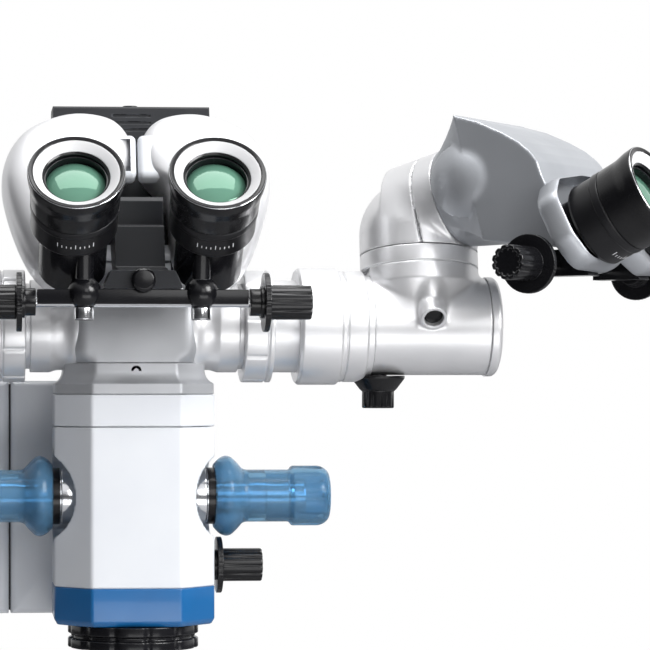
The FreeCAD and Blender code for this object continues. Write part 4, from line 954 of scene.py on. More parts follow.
@dataclass
class HandControls:
    """Hand knobs with their covers, and the fine focus knob."""

    palette: Palette
    level: float = KNOB_LEVEL
    hub_start: float = 26.8
    cover_start: float = 37.2
    focus_level: float = 37.2

    def knob(self) -> Surface:
        """Turns one hub with its groove and spigot."""
        hub_end = self.hub_start + 6.6
        collar = hub_end + 4.8
        tip = collar + 41.0
        return turned([(5.0, self.hub_start), (12.9, self.hub_start, 1.2), (12.9, hub_end - 0.3, 0.3),
                       (12.0, hub_end, 0.2), (12.0, hub_end + 0.4, 0.2), (12.9, hub_end + 0.8, 0.3),
                       (12.9, collar, 0.4), (8.5, collar), (8.5, tip, 1.0), (0.0, tip)], around=96)

    def cover(self) -> Surface:
        """Turns one thin cover, outside and inside, with grip flutes near its closed end."""
        s = self.cover_start
        corners = [(13.2, s), (14.7, s, 0.1), (17.4, s + 2.4, 1.5), (18.6, s + 5.4, 1.2),
                   (18.0, s + 7.8, 1.0),
                   (15.0, s + 11.0, 2.0), (12.6, s + 12.9, 1.0), (12.0, s + 14.6, 1.0),
                   (12.0, s + 34.6, 0.6), (13.8, s + 36.0, 0.8), (13.8, s + 48.6, 1.5),
                   (12.8, s + 51.2, 1.5), (10.6, s + 53.2, 1.2), (0.0, s + 53.2)]
        inner = [(0.0, s + 51.6), (9.8, s + 51.6, 1.0), (10.8, s + 48.6, 1.0), (10.8, s + 36.6, 0.5),
                 (10.4, s + 34.6), (10.4, s + 23.6), (8.55, s + 23.6), (8.55, s + 15.6), (10.4, s + 15.6),
                 (10.4, s + 13.6, 1.0), (13.4, s + 10.8, 1.5), (16.6, s + 7.2, 0.8), (17.0, s + 5.4, 0.8),
                 (15.9, s + 3.2, 1.0), (13.2, s)]
        wave = beyond(12.5, flutes(10, 0.8, s + 36.6, s + 49.5, sharp=5.0))
        return turned(corners + inner[1:], around=160, wave=wave)

    def build(self) -> None:
        """Builds both hand knobs, their covers and the focus knob."""
        sides = [on_x(side, 0, self.level) for side in (-1, 1)]
        drum = "magnification_drum"
        build("hub_pair", joined([self.knob().placed(p) for p in sides]), self.palette["polished chrome"],
              drum, ["hand_knobs"])
        bands = [turned([(12.95, 33.9), (13.0, 33.9, 0.2), (13.0, 38.2, 0.2), (12.95, 38.2)], place=p)
                 for p in sides]
        build("hub_bands", joined(bands), self.palette["black moulding"], drum)
        build("cover_pair", joined([self.cover().placed(p) for p in sides]),
              self.palette["translucent cover"], drum, ["sterile_covers"])
        build("focus_grip", joined(fluted_grip(on_x(1, 0, self.focus_level).shifted(36.9))
                                   + [turned([(0, 20), (2.5, 20), (2.5, 36.9), (0, 36.9)],
                                             on_x(1, 0, self.focus_level))]),
              self.palette["black moulding"], "focus_drive", ["focus_knob"])


def fluted_grip(place: Frame) -> list[Surface]:
    """Turns a knob from z = 0: a base, a thin disc with a milled edge and a grip with twelve flutes."""
    disc = turned([(0, 0), (7.0, 0, 0.3), (7.0, 1.4), (12.9, 1.4, 0.3), (12.9, 3.8, 0.5), (7.6, 3.8),
                   (0, 3.8)],
                  place, around=192, wave=flutes(48, 0.22, 1.5, 3.7, fade=0.3))
    grip = turned([(0, 3.6), (7.2, 3.6), (7.6, 4.2, 0.3), (7.6, 22.4, 0.9), (6.2, 22.4, 0.3),
                   (5.8, 22.0, 0.3),
                   (0, 22.0)], place, around=192, wave=flutes(12, 0.95, 5.4, 23.0, sharp=4.0, fade=0.8))
    return [disc, grip]


@dataclass
class HeadBlock:
    """Cast block of the beam splitter with its ports, clamp rings and rear housing."""

    palette: Palette
    low: float = 130.3
    high: float = 158.1
    level: float = PORT_LEVEL

    def polar_loop(self, corners: Sequence[Pair], radii: Sequence[float], count: int = 240) -> Array:
        """Samples a star shaped outline at even angles: the radius is read off between its points."""
        loop = outline_points(corners, radii, arc=10, along=24)
        angle = np.arctan2(loop[:, 1], loop[:, 0])
        order = np.argsort(angle)
        wanted = np.linspace(-math.pi, math.pi, count, endpoint=False)
        radius = np.interp(wanted, angle[order], np.hypot(loop[:, 0], loop[:, 1])[order], period=2 * math.pi)
        return np.stack([radius * np.cos(wanted), radius * np.sin(wanted)], axis=-1)

    def casting(self) -> Surface:
        """Makes the block: the column's outline turns into a rectangle over the height of the skirt,
        the share being (1 - u)^3 of the height u, and the top edge is a quarter round."""
        half, front, back, cut = 32.2, 23.6, 31.6, 16.3 - 4.4 * 0.586
        lower = self.polar_loop(octagon(half, front, back, cut), [3.0] * 8)
        corner_low, corner_high = (-27.8, -24), (27.8, 30)
        upper = self.polar_loop(rectangle(corner_low, corner_high), [6.0] * 4)
        skirt, edge = 9.0, 1.4
        loops, levels = [], []
        for u in np.linspace(0, 1, 12):
            share = (1 - u) ** 3
            loops.append(lower * share + upper * (1 - share))
            levels.append(self.low + skirt * u)
        for turn in np.linspace(0, math.pi / 2, 6):
            inset = edge * (1 - math.cos(turn))
            loops.append(self.polar_loop(rectangle(corner_low, corner_high, inset), [6.0] * 4))
            levels.append(self.high - edge + edge * math.sin(turn))
        return grid_surface(stacked(loops, levels))

    def port(self, side: int) -> Surface:
        """Turns one waisted port with the ring, the groove and the spigot."""
        return turned([(14.0, 24.0), (22.4, 24.0), (22.4, 27.8, 1.5), (20.3, 31.0, 2.0), (20.0, 35.0, 2.0),
                       (21.2, 38.6, 0.4), (21.2, 47.5, 0.4), (19.6, 47.5, 0.1), (19.6, 49.75), (17.5, 49.75),
                       (17.5, 55.7), (14.0, 55.7), (14.0, 24.0)], on_x(side, 0, self.level), around=128)

    def clamp(self, side: int) -> Surface:
        """Turns one clamp ring: three narrow grip grooves and a shallow line near its outer end."""
        corners = [(17.6, 49.8), (25.8, 49.8, 0.9), (25.8, 59.6, 0.3), (25.0, 60.0, 0.2), (25.0, 60.6, 0.2),
                   (25.8, 61.0, 0.3), (25.8, 63.0, 0.6), (17.6, 63.0), (17.6, 49.8)]
        wave = beyond(23.0, flutes(9, 1.0, 49.0, 60.0, sharp=60.0, phase=14.0))
        return turned(corners, on_x(side, 0, self.level), around=360, wave=wave)

    def rear(self) -> tuple[Surface, Surface]:
        """Makes the two halves of the rear housing and the dark strip behind their seam."""
        place = Frame(vector(0, 0, 0), vector(1, 0, 0), vector(0, 0, 1), vector(0, -1, 0))
        left = self.panel([(-84, 12), (-56.4, 12), (-56.4, 122), (-84, 122)], [9, 0.4, 0.4, 6], place)
        right = self.panel([(-55.6, 12), (30, 12), (30, 122), (-55.6, 122)], [0.4, 9, 6, 0.4], place)
        seam = rounded_block((-58.0, 39.0, 13.5), (-54.0, 79.0, 120.5), 0.5)
        return joined([left, right]), seam

    def panel(self, corners: Sequence[Pair], radii: Sequence[float], place: Frame) -> Surface:
        """Sweeps an upright outline from back to front, with quarter rounds along both faces."""
        loops, levels = [], []
        quarter = np.linspace(0, math.pi / 2, 7)
        centre = np.mean(corners, axis=0)
        for depth, edge, sign in ((-82.0, 1.0, 1), (-36.0, 3.2, -1)):
            rows = quarter if sign == 1 else quarter[::-1]
            for turn in rows:
                inset = edge * (1 - math.sin(turn))
                moved = [tuple(np.array(c) - np.sign(np.array(c) - centre) * inset) for c in corners]
                loops.append(outline_points(moved, [max(r - inset, 0.05) for r in radii], arc=8, along=2))
                levels.append(depth + sign * edge * (1 - math.cos(turn)))
        return grid_surface(stacked(loops, levels)).placed(place)

    def build(self) -> None:
        """Builds the block, its ports and the housing behind the column."""
        silver, cast = self.palette["silver paint"], self.palette["cast metal"]
        build("block_casting", self.casting(), cast, "head", ["head_block"])
        for name, side in SIDES:
            build(f"port_{name}", self.port(side), silver, "head", [f"side_port_{name}"])
            build(f"clamp_ring_{name}", self.clamp(side), silver, f"clamp_{name}", [f"port_clamp_{name}"])
        cap = turned([(0, 56.1), (17.5, 56.1), (17.5, 63.3), (21.2, 63.3, 0.4), (21.2, 65.5, 0.5),
                      (19.8, 66.9, 0.8), (12.7, 67.6, 0.5), (12.0, 67.2, 0.3), (0, 67.2)],
                     on_x(-1, 0, self.level))
        build("blank_cap", cap, silver, "head", ["port_cap"])
        halves, seam = self.rear()
        build("rear_halves", halves, self.palette["white paint"], "head", ["rear_housing"])
        build("rear_seam", seam, self.palette["dark seam"], "head")
        dress(["stand_flange"], cast)
        dress(["main_base"], self.palette["white paint"])


@dataclass
class Arm:
    """Assistant's arm: stepped tube, elbow casting, cap, screws, lock knob and dome."""

    palette: Palette
    level: float = PORT_LEVEL
    elbow_start: float = 109.0
    elbow_end: float = 163.0
    branch_x: float = 133.6
    branch_lean: float = 10.0
    branch_radius: float = 27.3
    branch_top: float = 25.6
    ring: float = 8.0
    neck: Optional[Frame] = None

    def branch(self) -> Frame:
        """Gives the frame on the leaning axis of the branch."""
        lean = math.radians(self.branch_lean)
        return frame_along((0, math.sin(lean), math.cos(lean)), (self.branch_x, 0, self.level))

    def boss(self) -> Frame:
        """Gives the frame on the axis of the index boss, at its mouth."""
        return frame_along((0, -0.8, -0.6), (self.branch_x + 1.4, -27.0, self.level + 3.0))

    def elbow_distance(self, points: Array) -> Array:
        """Gives the distance to the elbow: a lying cylinder, blended with the branch and the boss."""
        lying = round_bar(points, on_x(1, 0, self.level), 22.4, self.elbow_start, self.elbow_end, 0.6)
        upright = self.branch()
        near = upright.local(points)
        width = 22.0 + 5.3 * np.clip(near[..., 2] / 18.0, 0, 1) ** 1.5
        side = np.hypot(near[..., 0], near[..., 1]) - width
        wall = np.maximum(side, np.maximum(-near[..., 2], near[..., 2] - self.branch_top))
        body = blended(lying, wall, 3.0)
        axis = self.boss()
        boss = round_bar(points, axis, 6.0, -22.0, 0.0, 0.5)
        rib = round_bar(points, frame_along((0, 0.18, 1), (self.branch_x + 1.4, -20.6, self.level)), 6.0,
                        0.0, 27.0, 1.0)
        body = blended(blended(body, rib, 2.5), boss, 1.2)
        body = np.maximum(body, near[..., 2] - self.branch_top)
        body = cut_away(body, round_bar(points, axis, 4.4, -4.5, 3.0, 0.2), 0.4)
        body = np.maximum(body, self.elbow_start - points[..., 0])
        return body

    def dome_distance(self, points: Array) -> Array:
        """Gives the distance to the dome: a shank under a ball, blended with the neck."""
        upright = self.branch()
        near = upright.local(points)
        base = self.branch_top + self.ring + 0.3
        shank = round_bar(points, upright, self.branch_radius, base, base + 9.0, 0.3)
        head = np.maximum(ball(points, upright.origin + upright.z * (base + 9.0), self.branch_radius),
                          base + 9.0 - near[..., 2])
        neck = round_bar(points, self.neck, 23.2, -27.0, 0.0, 0.3)
        body = blended(np.minimum(shank, head), neck, 3.0)
        groove = np.maximum(np.abs(self.neck.local(points)[..., 2] + 10.5) - 0.35,
                            -(np.linalg.norm(self.neck.local(points)[..., :2], axis=-1) - 22.4))
        body = cut_away(body, groove, 0.3)
        body = np.maximum(body, base - near[..., 2])
        return np.maximum(body, self.neck.local(points)[..., 2])

    def build(self) -> None:
        """Builds the arm."""
        silver = self.palette["silver paint"]
        x = on_x(1, 0, self.level)
        tube = turned([(0, 56.1), (17.4, 56.1), (17.4, 63.3), (21.2, 63.3, 0.3), (21.2, 74.8), (25.7, 74.8),
                       (26.9, 76.0, 0.5), (26.9, 93.4, 0.6), (26.1, 94.2), (25.6, 94.2), (25.6, 95.9, 0.2),
                       (25.0, 96.2, 0.1), (25.0, 96.6, 0.1), (25.6, 96.9, 0.2), (25.6, 105.2, 0.4),
                       (24.6, 106.2, 0.5), (23.6, 106.2), (23.6, 108.9, 0.3), (0, 108.9)], x, around=160)
        build("arm_steps", tube, silver, "arm", ["arm_tube"])
        elbow = netted(self.elbow_distance, (104, -36, 122), (166, 36, 178), 0.62)
        ring = turned([(0, 25.6), (26.7, 25.6), (26.7, 26.0), (27.3, 26.2, 0.2), (27.3, 33.4, 0.4),
                       (18.0, 33.6), (18.0, 38.5, 0.4), (0, 38.5)], self.branch(), around=160)
        build("elbow_casting", joined([elbow, ring]), silver, "arm", ["elbow_body"])
        cap = turned([(0, 163.05), (23.0, 163.05, 0.3), (23.0, 166.4, 0.8), (21.6, 168.0, 0.8), (0, 168.0)],
                     x,
                     around=160)
        build("elbow_end", cap, silver, "arm", ["elbow_cap"])
        dress(["elbow_screws"], self.palette["black anodised"])
        plug = turned([(0, -4.3), (4.3, -4.3), (4.3, -2.6, 0.3), (2.2, -2.2, 0.3), (0, -2.1)],
                      self.boss(), around=64)
        build("boss_plug", plug, self.palette["black anodised"], "arm")
        lock = standing(113.6, 0, 124.3)
        knob = turned([(0, -15), (7.4, -15, 0.8), (7.4, -7.2, 0.3), (8.4, -6.4, 0.5), (12.4, -1.2, 0.6),
                       (12.4, 0, 0.3), (4.0, 0), (4.0, 7.0), (0, 7.0)], lock, around=144,
                      wave=flutes(12, 0.9, -16.0, -7.6, sharp=3.0))
        build("lock_knob", knob, self.palette["black moulding"], "arm_lock", ["elbow_lock"])
        dome = netted(self.dome_distance, (102, -28, 174), (168, 38, 234), 0.62)
        build("dome_casting", dome, silver, "dome", ["elbow_dome"])


@dataclass
class Eyepiece:
    """One eyepiece: barrel, dioptre ring, eyecup with its white cone, and lens."""

    palette: Palette
    start: float
    ring: float = 21.3
    cup: float = 37.3

    def build(self, tube: str, side: str, place: Frame) -> None:
        """Builds the pieces of one eyepiece.

        Args:
            tube: Which tube it belongs to, main or assist.
            side: Left or right.
            place: Frame on its axis.
        """
        eye, ring, cup = (f"{tube}_{part}_{side}" for part in ("eye", "ring", "cup"))
        black, satin = self.palette["black anodised"], self.palette["satin black"]
        mouth = 50.6
        barrel = turned([(12.4, self.start), (15.0, self.start), (15.0, mouth, 0.3), (12.95, mouth, 0.2),
                         (12.95, 45.1), (12.4, 45.1), (12.4, self.start)], place)
        build(f"{tube}_tube_{side}", barrel, black, eye, [f"{tube}_barrel_{side}"])
        z0, z1 = self.ring, self.ring + 15.7
        dial = turned([(15.05, z0), (17.7, z0, 0.3), (18.9, z0 + 1.6, 0.4), (18.9, z1 - 4.0, 0.2),
                       (19.3, z1 - 3.4, 0.2), (19.3, z1, 0.4), (15.05, z1), (15.05, z0)], place)
        build(f"{tube}_dial_{side}", dial, satin, ring, [f"{tube}_dioptre_{side}"])
        self.marks(f"{tube}_marks_{side}", ring, place, z0)
        s, e = self.cup, self.cup + 18.6
        body = turned([(15.05, s), (19.3, s, 0.3), (19.6, e - 10, 1.0), (20.7, e - 5, 1.0),
                       (21.0, e - 0.8, 0.6),
                       (20.2, e, 0.2), (18.9, e - 0.5, 0.2), (13.6, e - 3.9, 0.3), (13.6, e - 4.6),
                       (15.05, e - 4.6),
                       (15.05, s)], place)
        build(f"{tube}_cup_shell_{side}", body, self.palette["black moulding"], cup,
              [f"{tube}_eyecup_{side}"])
        cone = turned([(18.4, e - 0.9), (18.6, e - 0.55, 0.2), (14.6, e - 3.1, 0.2), (14.4, e - 3.6),
                       (18.4, e - 0.9)], place)
        build(f"{tube}_cone_{side}", cone, self.palette["white insert"], cup)
        bead = turned([(20.3, e - 0.85), (20.78, e - 0.75, 0.15), (20.68, e - 0.4, 0.1), (20.2, e - 0.2, 0.1),
                       (20.3, e - 0.85)], place)
        build(f"{tube}_bead_{side}", bead, self.palette["polished chrome"], cup)
        lens = turned([(0, 45.3), (12.85, 45.3), (12.85, 47.0, 0.2), (11.4, 48.0), (9.5, 48.8), (7.2, 49.45),
                       (4.8, 49.9), (2.4, 50.15), (0, 50.25)], place)
        build(f"{tube}_glass_{side}", lens, self.palette["coated eye lens"], eye,
              [f"{tube}_lens_{side}"])

    def marks(self, name: str, body: str, place: Frame, z0: float) -> None:
        """Lays plain tick marks on the dioptre ring, each a small curved patch 0.06 mm proud."""
        parts = []
        for index in range(-4, 5):
            tall = 2.4 if index % 4 == 0 else 1.3
            angle = np.radians(-90 + 6.0 * index + np.array([-0.55, 0.55]))
            level = z0 + 6.2 + np.array([0.0, tall])
            angles, levels = np.meshgrid(angle, level)
            patch = np.stack([18.97 * np.cos(angles), 18.97 * np.sin(angles), levels], axis=-1)
            inner = np.stack([18.6 * np.cos(angles), 18.6 * np.sin(angles), levels], axis=-1)
            outer_loop = patch.reshape(-1, 3)[[0, 1, 3, 2]]
            inner_loop = inner.reshape(-1, 3)[[0, 1, 3, 2]]
            parts.append(grid_surface(np.stack([inner_loop, outer_loop])))
        build(name, joined(parts).placed(place), self.palette["marking white"], body,
              smooth=math.radians(20))


@dataclass
class PupilDrive:
    """Guide bar, spindle with its knobs, and rod of one tube."""

    palette: Palette
    y: float
    z: float
    half: float = 46.0
    seat: float = 46.6

    def spindle(self) -> Surface:
        """Makes the two fluted knobs with their collars."""
        parts = []
        for side in (-1, 1):
            place = on_x(side, self.y, self.z)
            parts.append(turned([(0, self.seat), (6.0, self.seat, 0.4), (6.0, self.seat + 5, 0.2),
                                 (0, self.seat + 5)], place))
            parts += fluted_grip(place.shifted(self.seat + 4.6))
        return joined(parts)

    def rod(self) -> Surface:
        """Makes the bright rod between the knobs."""
        return turned([(0, -self.seat), (2.2, -self.seat), (2.2, self.seat), (0, self.seat)],
                      on_x(1, self.y, self.z))

    def bar(self) -> Surface:
        """Makes the guide bar over the spindle, with softened edges."""
        low = self.z - 1.0
        return rounded_block((-self.half, self.y - 3.5, low), (self.half, self.y + 3.5, low + 6.5), 0.4)


@dataclass
class SurgeonTube:
    """Tilting binocular tube of the surgeon."""

    palette: Palette
    eye_y: float = -50.0
    eye_z: float = 176.0
    depth: float = 34.0
    lobe_rise: float = 20.0
    eye_rise: float = 38.0
    drive_y: float = -66.0
    drive_z: float = 156.0
    outline: tuple[Pair, ...] = ((31, -9.5), (45, -3), (55.5, 18), (60.6, 44.5), (51.5, 65), (31, 75),
                                 (11.5, 73), (2.2, 62), (2.3, 48), (11.8, 37), (13.9, 22), (15.4, 8),
                                 (20.5, -5))
    centre: Pair = (31.0, 34.0)

    def lobe(self) -> Surface:
        """Makes the right lobe: a closed cubic outline through the outline's points, scaled about a
        centre by rho, at depth d (1 +- (1 - rho^p)^(1/p)) / 2, so that both faces are crowned."""
        loop = closed_curve(self.outline, 20)
        middle = np.array(self.centre)
        rows, levels = [], []
        power = 3.4
        for sign in (-1, 1):
            share = np.sin(np.linspace(0, math.pi / 2, 22))
            if sign == 1:
                share = share[::-1][1:]
            for rho in share:
                rise = (1 - rho ** power) ** (1 / power)
                rows.append(middle + (loop - middle) * max(rho, 0.003))
                levels.append(self.depth / 2 * (1 + sign * rise))
        grid = stacked(rows, levels)
        surface = grid_surface(grid)
        place = leaned_frame(self.lobe_rise, (0, self.eye_y, self.eye_z))
        return surface.placed(place.shifted(-self.depth))

    def build(self) -> None:
        """Builds the tube."""
        lobe = self.lobe()
        white = self.palette["silver paint"]
        eyepiece = Eyepiece(self.palette, start=-6.0)
        for side, sign in SIDES:
            shape = lobe if sign == 1 else lobe.mirrored()
            build(f"main_shell_{side}", shape, white, f"main_eye_{side}", [f"main_lobe_{side}"])
            place = leaned_frame(self.eye_rise, (EYE_HALF * sign, self.eye_y, self.eye_z))
            eyepiece.build("main", side, place)
        drive = PupilDrive(self.palette, self.drive_y, self.drive_z)
        build("main_rod", drive.spindle(), self.palette["black moulding"], "main_drive",
              ["main_spindle"])
        build("main_bright_rod", drive.rod(), self.palette["polished chrome"], "main_drive")
        for side, sign in SIDES:
            stud = standing(25.5 * sign, self.drive_y, 148.2)
            sleeve = turned([(0, 0), (4.35, 0, 0.6), (4.35, 5.4, 0.3), (0, 5.4)], stud, around=64)
            build(f"main_stud_{side}", sleeve, self.palette["polished chrome"], f"main_eye_{side}")
            cover = rounded_block((0.4, 41.0, -13.0), (15.0, 62.0, -3.4), 2.6)
            cover = cover if sign == 1 else cover.mirrored()
            build(f"main_inner_cover_{side}",
                  cover.placed(leaned_frame(self.lobe_rise, (0, self.eye_y, self.eye_z))),
                  self.palette["white paint"], f"main_eye_{side}")
        build("main_guide", drive.bar(), self.palette["black anodised"], "main_tube",
              ["main_bar"])
        # The housing gets the near-black finish: painted shade
        dress(["main_housing"], self.palette["housing casting in painted shade"])
        dress(["tilt_pin"], self.palette["turned steel"])
        dress(["main_carrier_left", "main_carrier_right"], self.palette["black anodised"])
        lock = frame_along((0, -1, 0), (0, -69.9, 165.5))
        knob = turned([(0, -8), (2.0, -8), (2.0, 0), (5.4, 0, 0.3), (5.4, 3.2, 0.8), (4.2, 4.6, 0.4),
                       (0, 5.0)],
                      lock, around=96, wave=flutes(18, 0.25, 0.2, 3.6))
        build("bracket_knob", knob, self.palette["black moulding"], "main_lock", ["main_lock"])


def closed_curve(points: Sequence[Pair], steps: int) -> Array:
    """Gives a smooth closed curve through points: on each span the cubic with the slopes of the
    neighbours' chord, P = h00 A + h10 (B - Z)/2 + h01 B + h11 (C - A)/2."""
    start = np.array(points, dtype=float)
    before, end, after = np.roll(start, 1, 0), np.roll(start, -1, 0), np.roll(start, -2, 0)
    t = (np.arange(steps) / steps)[None, :, None]
    first, second = (end - before) / 2, (after - start) / 2
    curve = ((2 * t ** 3 - 3 * t ** 2 + 1) * start[:, None] + (t ** 3 - 2 * t ** 2 + t) * first[:, None]
             + (-2 * t ** 3 + 3 * t ** 2) * end[:, None] + (t ** 3 - t ** 2) * second[:, None])
    return curve.reshape(-1, 2)


@dataclass
class AssistantTube:
    """Assistant's binocular tube on the dome."""

    palette: Palette
    pivot: Triple = (165.5, -18.5, 211.7)
    turn: float = 50.3
    half: float = 34.0
    profile: tuple[Pair, ...] = ((-4, 29), (8, 25.6), (20, 20.2), (28, 15.8), (34.0, 11.0), (37.6, 6.6),
                                 (39.6, 1.0), (54.9, -32.2), (11, -27.5))
    eye_tilt: float = 26.0
    neck_rise: float = 15.0

    def frame(self) -> Frame:
        """Gives the frame of the tube: the pivot, with the eyepieces towards its own -Y."""
        angle = math.radians(self.turn)
        return Frame(np.array(self.pivot), vector(math.cos(angle), math.sin(angle), 0),
                     vector(-math.sin(angle), math.cos(angle), 0), vector(0, 0, 1))

    def neck(self) -> Frame:
        """Gives the frame at the seam between dome and tube, Z along the neck."""
        return leaned_frame(self.neck_rise).shifted(-21.3).within(self.frame())

    def housing_distance(self, points: Array) -> Array:
        """Gives the distance to the housing in its own frame: a wedge, the flare that turns from
        the neck's circle into a square, and the two round bosses."""
        flat = np.stack([-points[..., 1], points[..., 2]], axis=-1)
        edge = 0.7
        wedge = polygon_distance(flat, self.profile) + edge
        side = np.abs(points[..., 0]) - self.half + edge
        wedge = crossed_walls(wedge, side) - edge
        near = leaned_frame(self.neck_rise).local(points)
        share = np.clip((near[..., 2] + 21.0) / 24.8, 0, 1) ** 0.9
        circle = np.hypot(near[..., 0], near[..., 1]) - 23.2
        width, tall = np.abs(near[..., 0]) - self.half, np.abs(near[..., 1]) - 28.95
        square = crossed_walls(width, tall)
        flare = np.maximum(circle * (1 - share) + square * share,
                           np.maximum(-21.0 - near[..., 2], near[..., 2] - 3.8))
        body = blended(wedge, flare, 0.8)
        bulge, rise = 13.0, 3.4
        radius = (bulge ** 2 + rise ** 2) / (2 * rise)
        for sign in (-1, 1):
            centre = vector(sign * (self.half + rise - radius), 0, 0)
            cap = np.maximum(ball(points, centre, radius), self.half - 3 - np.abs(points[..., 0]))
            body = blended(body, cap, 1.0)
        return body

    def lobe(self) -> Surface:
        """Makes the right lobe: a rounded outline carried along the eyepiece direction, drawn in at
        both ends by 6 % along a quarter ellipse."""
        corners = [(1.3, -20.5), (1.3, -56), (16, -66), (45, -65), (53, -52), (53, -33), (42, -24),
                   (16, -20.5)]
        loop = outline_points(corners, [2, 5, 9, 9, 9, 9, 8, 16], arc=8, along=4)
        middle = np.array([28.0, -42.0])
        rows, levels = [], []
        for t in np.sin(np.linspace(-math.pi / 2, math.pi / 2, 17)):
            scale = 1 - 0.06 * (1 - math.sqrt(max(1 - t * t, 0)))
            rows.append(middle + (loop - middle) * scale)
            levels.append(10.4 * (t + 1) / 2)
        surface = grid_surface(stacked(rows, levels))
        return surface.placed(leaned_frame(self.eye_tilt).shifted(35.5))

    def build(self) -> None:
        """Builds the tube."""
        place = self.frame()
        silver = self.palette["assistant silver"]
        housing = netted(self.housing_distance, (-40, -58, -38), (40, 40, 38), 0.72).placed(place)
        build("assist_casting", housing, silver, "assist_tube", ["assist_housing"])
        lobe = self.lobe()
        eyepiece = Eyepiece(self.palette, start=12.0)
        tilt = math.radians(self.eye_tilt)
        along, across = 24.6, -48.2
        forward = along * math.cos(tilt) - across * math.sin(tilt)
        height = along * math.sin(tilt) + across * math.cos(tilt)
        for side, sign in SIDES:
            shape = (lobe if sign == 1 else lobe.mirrored()).placed(place)
            build(f"assist_shell_{side}", shape, silver, f"assist_eye_{side}", [f"assist_lobe_{side}"])
            eye = leaned_frame(self.eye_tilt, (EYE_HALF * sign, -forward, height)).within(place)
            eyepiece.build("assist", side, eye)
        drive = PupilDrive(self.palette, -44.0, -39.5)
        build("assist_rod", drive.spindle().placed(place), self.palette["black moulding"],
              "assist_drive", ["assist_spindle"])
        build("assist_bright_rod", drive.rod().placed(place), self.palette["polished chrome"],
              "assist_drive")
        dress(["assist_bar", "assist_carrier_left", "assist_carrier_right"], self.palette["black anodised"])


# Studio

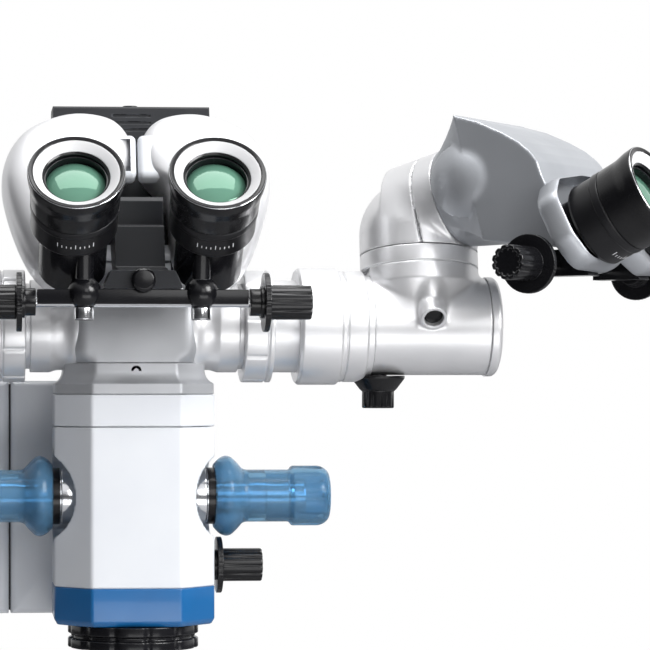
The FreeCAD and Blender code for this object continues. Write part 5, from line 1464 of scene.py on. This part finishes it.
@dataclass
class Studio:
    """Camera at the photograph's angle, plain floor and soft light."""

    azimuth: float = 3.7
    distance: float = 1.196
    level: float = 0.120
    lens: float = 144.0
    picture: int = 650
    axis_column: int = 133
    horizon_row: int = 385
    floor_level: float = -0.35

    def camera(self) -> None:
        """Places the level camera and shifts its frame to the photograph's."""
        angle = math.radians(self.azimuth)
        data = bpy.data.cameras.new("camera")
        data.lens = self.lens
        data.sensor_width = 36.0
        middle = self.picture / 2
        data.shift_x = (middle - self.axis_column) / self.picture
        data.shift_y = (self.horizon_row - middle) / self.picture
        data.clip_start, data.clip_end = 0.05, 20.0
        camera = bpy.data.objects.new("camera", data)
        camera.location = (-self.distance * math.sin(angle), -self.distance * math.cos(angle), self.level)
        camera.rotation_euler = (math.pi / 2, 0, -angle)
        bpy.context.scene.collection.objects.link(camera)
        bpy.context.scene.camera = camera

    def lamp(self, name: str, place: Triple, target: Triple, size: Pair, power: float) -> None:
        """Adds an area lamp that faces a target."""
        data = bpy.data.lights.new(name, "AREA")
        data.shape = "RECTANGLE"
        data.size, data.size_y = size
        data.energy = power
        lamp = bpy.data.objects.new(name, data)
        lamp.location = place
        way = Vector((np.array(target) - np.array(place)).tolist())
        lamp.rotation_euler = way.to_track_quat("-Z", "Y").to_euler()
        bpy.context.scene.collection.objects.link(lamp)

    def world(self) -> None:
        """Makes the world: white where it is seen directly, a dim room for light, and for
        reflections a room that is pale above and below and dark at eye level and on the left."""
        world = bpy.data.worlds.new("studio")
        world.use_nodes = True
        graph = ShaderGraph(world.node_tree)
        output = graph.add("OutputWorld")
        path = graph.add("LightPath")
        where = graph.add("TexCoord")
        parts = graph.add("SeparateXYZ")
        graph.join(where.outputs["Generated"], parts.inputs[0])
        ramp = graph.add("ValToRGB")
        stops = [(0.0, 0.60), (0.40, 0.50), (0.47, 0.12), (0.53, 0.09), (0.60, 0.40), (0.72, 0.90),
                 (1.0, 1.0)]
        while len(ramp.color_ramp.elements) < len(stops):
            ramp.color_ramp.elements.new(0.5)
        for element, (position, value) in zip(ramp.color_ramp.elements, stops):
            element.position = position
            element.color = (value, value, value * 1.02, 1)
        graph.join(graph.span(parts.outputs["Z"], -1.0, 1.0), ramp.inputs["Fac"])
        left = graph.span(parts.outputs["X"], -0.2, -0.8)
        level = graph.span(graph.math("ABSOLUTE", parts.outputs["Z"]), 0.75, 0.35)
        shade = graph.math("MULTIPLY", graph.math("MULTIPLY", left, level), 0.9)
        back = graph.span(parts.outputs["Y"], 0.0, 0.35)
        studio = graph.mix(shade, ramp.outputs["Color"], (0.045, 0.046, 0.05, 1))
        seen = graph.mix(back, studio, (0.95, 0.95, 0.95, 1))
        room = graph.mix(path.outputs["Is Glossy Ray"], (0.13, 0.132, 0.138, 1), seen)
        direct = graph.math("MAXIMUM", path.outputs["Is Camera Ray"], path.outputs["Is Transmission Ray"])
        colour = graph.mix(direct, room, (1.0, 1.0, 1.0, 1))
        light = graph.add("Background")
        graph.join(colour, light.inputs["Color"])
        graph.join(light.outputs["Background"], output.inputs["Surface"])
        bpy.context.scene.world = world

    def floor(self) -> None:
        """Lays a wide pale floor well below the hanging head."""
        reach = 3.0
        mesh = bpy.data.meshes.new("floor")
        corners = [(x, y, self.floor_level) for x, y in rectangle((-reach, -reach), (reach, reach))]
        mesh.from_pydata(corners, [], [(0, 1, 2, 3)])
        floor = bpy.data.objects.new("floor", mesh)
        finish = bpy.data.materials.new("pale floor")
        finish.use_nodes = True
        graph = ShaderGraph(finish.node_tree)
        output = graph.add("OutputMaterial")
        diffuse = graph.add("BsdfDiffuse")
        diffuse.inputs["Color"].default_value = (0.45, 0.45, 0.46, 1)
        white = graph.add("Emission")
        path = graph.add("LightPath")
        choose = graph.add("MixShader")
        graph.join(path.outputs["Is Camera Ray"], choose.inputs[0])
        graph.join(diffuse.outputs[0], choose.inputs[1])
        graph.join(white.outputs[0], choose.inputs[2])
        graph.join(choose.outputs[0], output.inputs["Surface"])
        mesh.materials.append(finish)
        bpy.context.scene.collection.objects.link(floor)

    def build(self) -> None:
        """Sets up camera, light and floor."""
        self.camera()
        self.world()
        self.floor()
        centre = (0.04, 0.0, 0.14)
        self.lamp("key", (0.85, -0.80, 0.62), centre, (0.6, 0.6), 19.0)
        self.lamp("top", (0.05, -0.15, 1.1), centre, (0.9, 0.6), 9.0)
        self.lamp("front", (0.30, -1.25, 0.45), centre, (0.5, 0.5), 2.5)
        self.lamp("low", (0.2, -0.7, -0.25), centre, (0.8, 0.3), 2.0)
        bpy.context.scene.view_settings.view_transform = "Standard"


def main() -> None:
    """Builds every sub-assembly in order."""
    logging.basicConfig(level=logging.INFO, format="%(name)s: %(message)s")
    palette = Palette()
    Column(palette).build()
    HandControls(palette).build()
    HeadBlock(palette).build()
    assistant = AssistantTube(palette)
    Arm(palette, neck=assistant.neck()).build()
    SurgeonTube(palette).build()
    assistant.build()
    Studio().build()


if __name__ == "__main__":
    main()
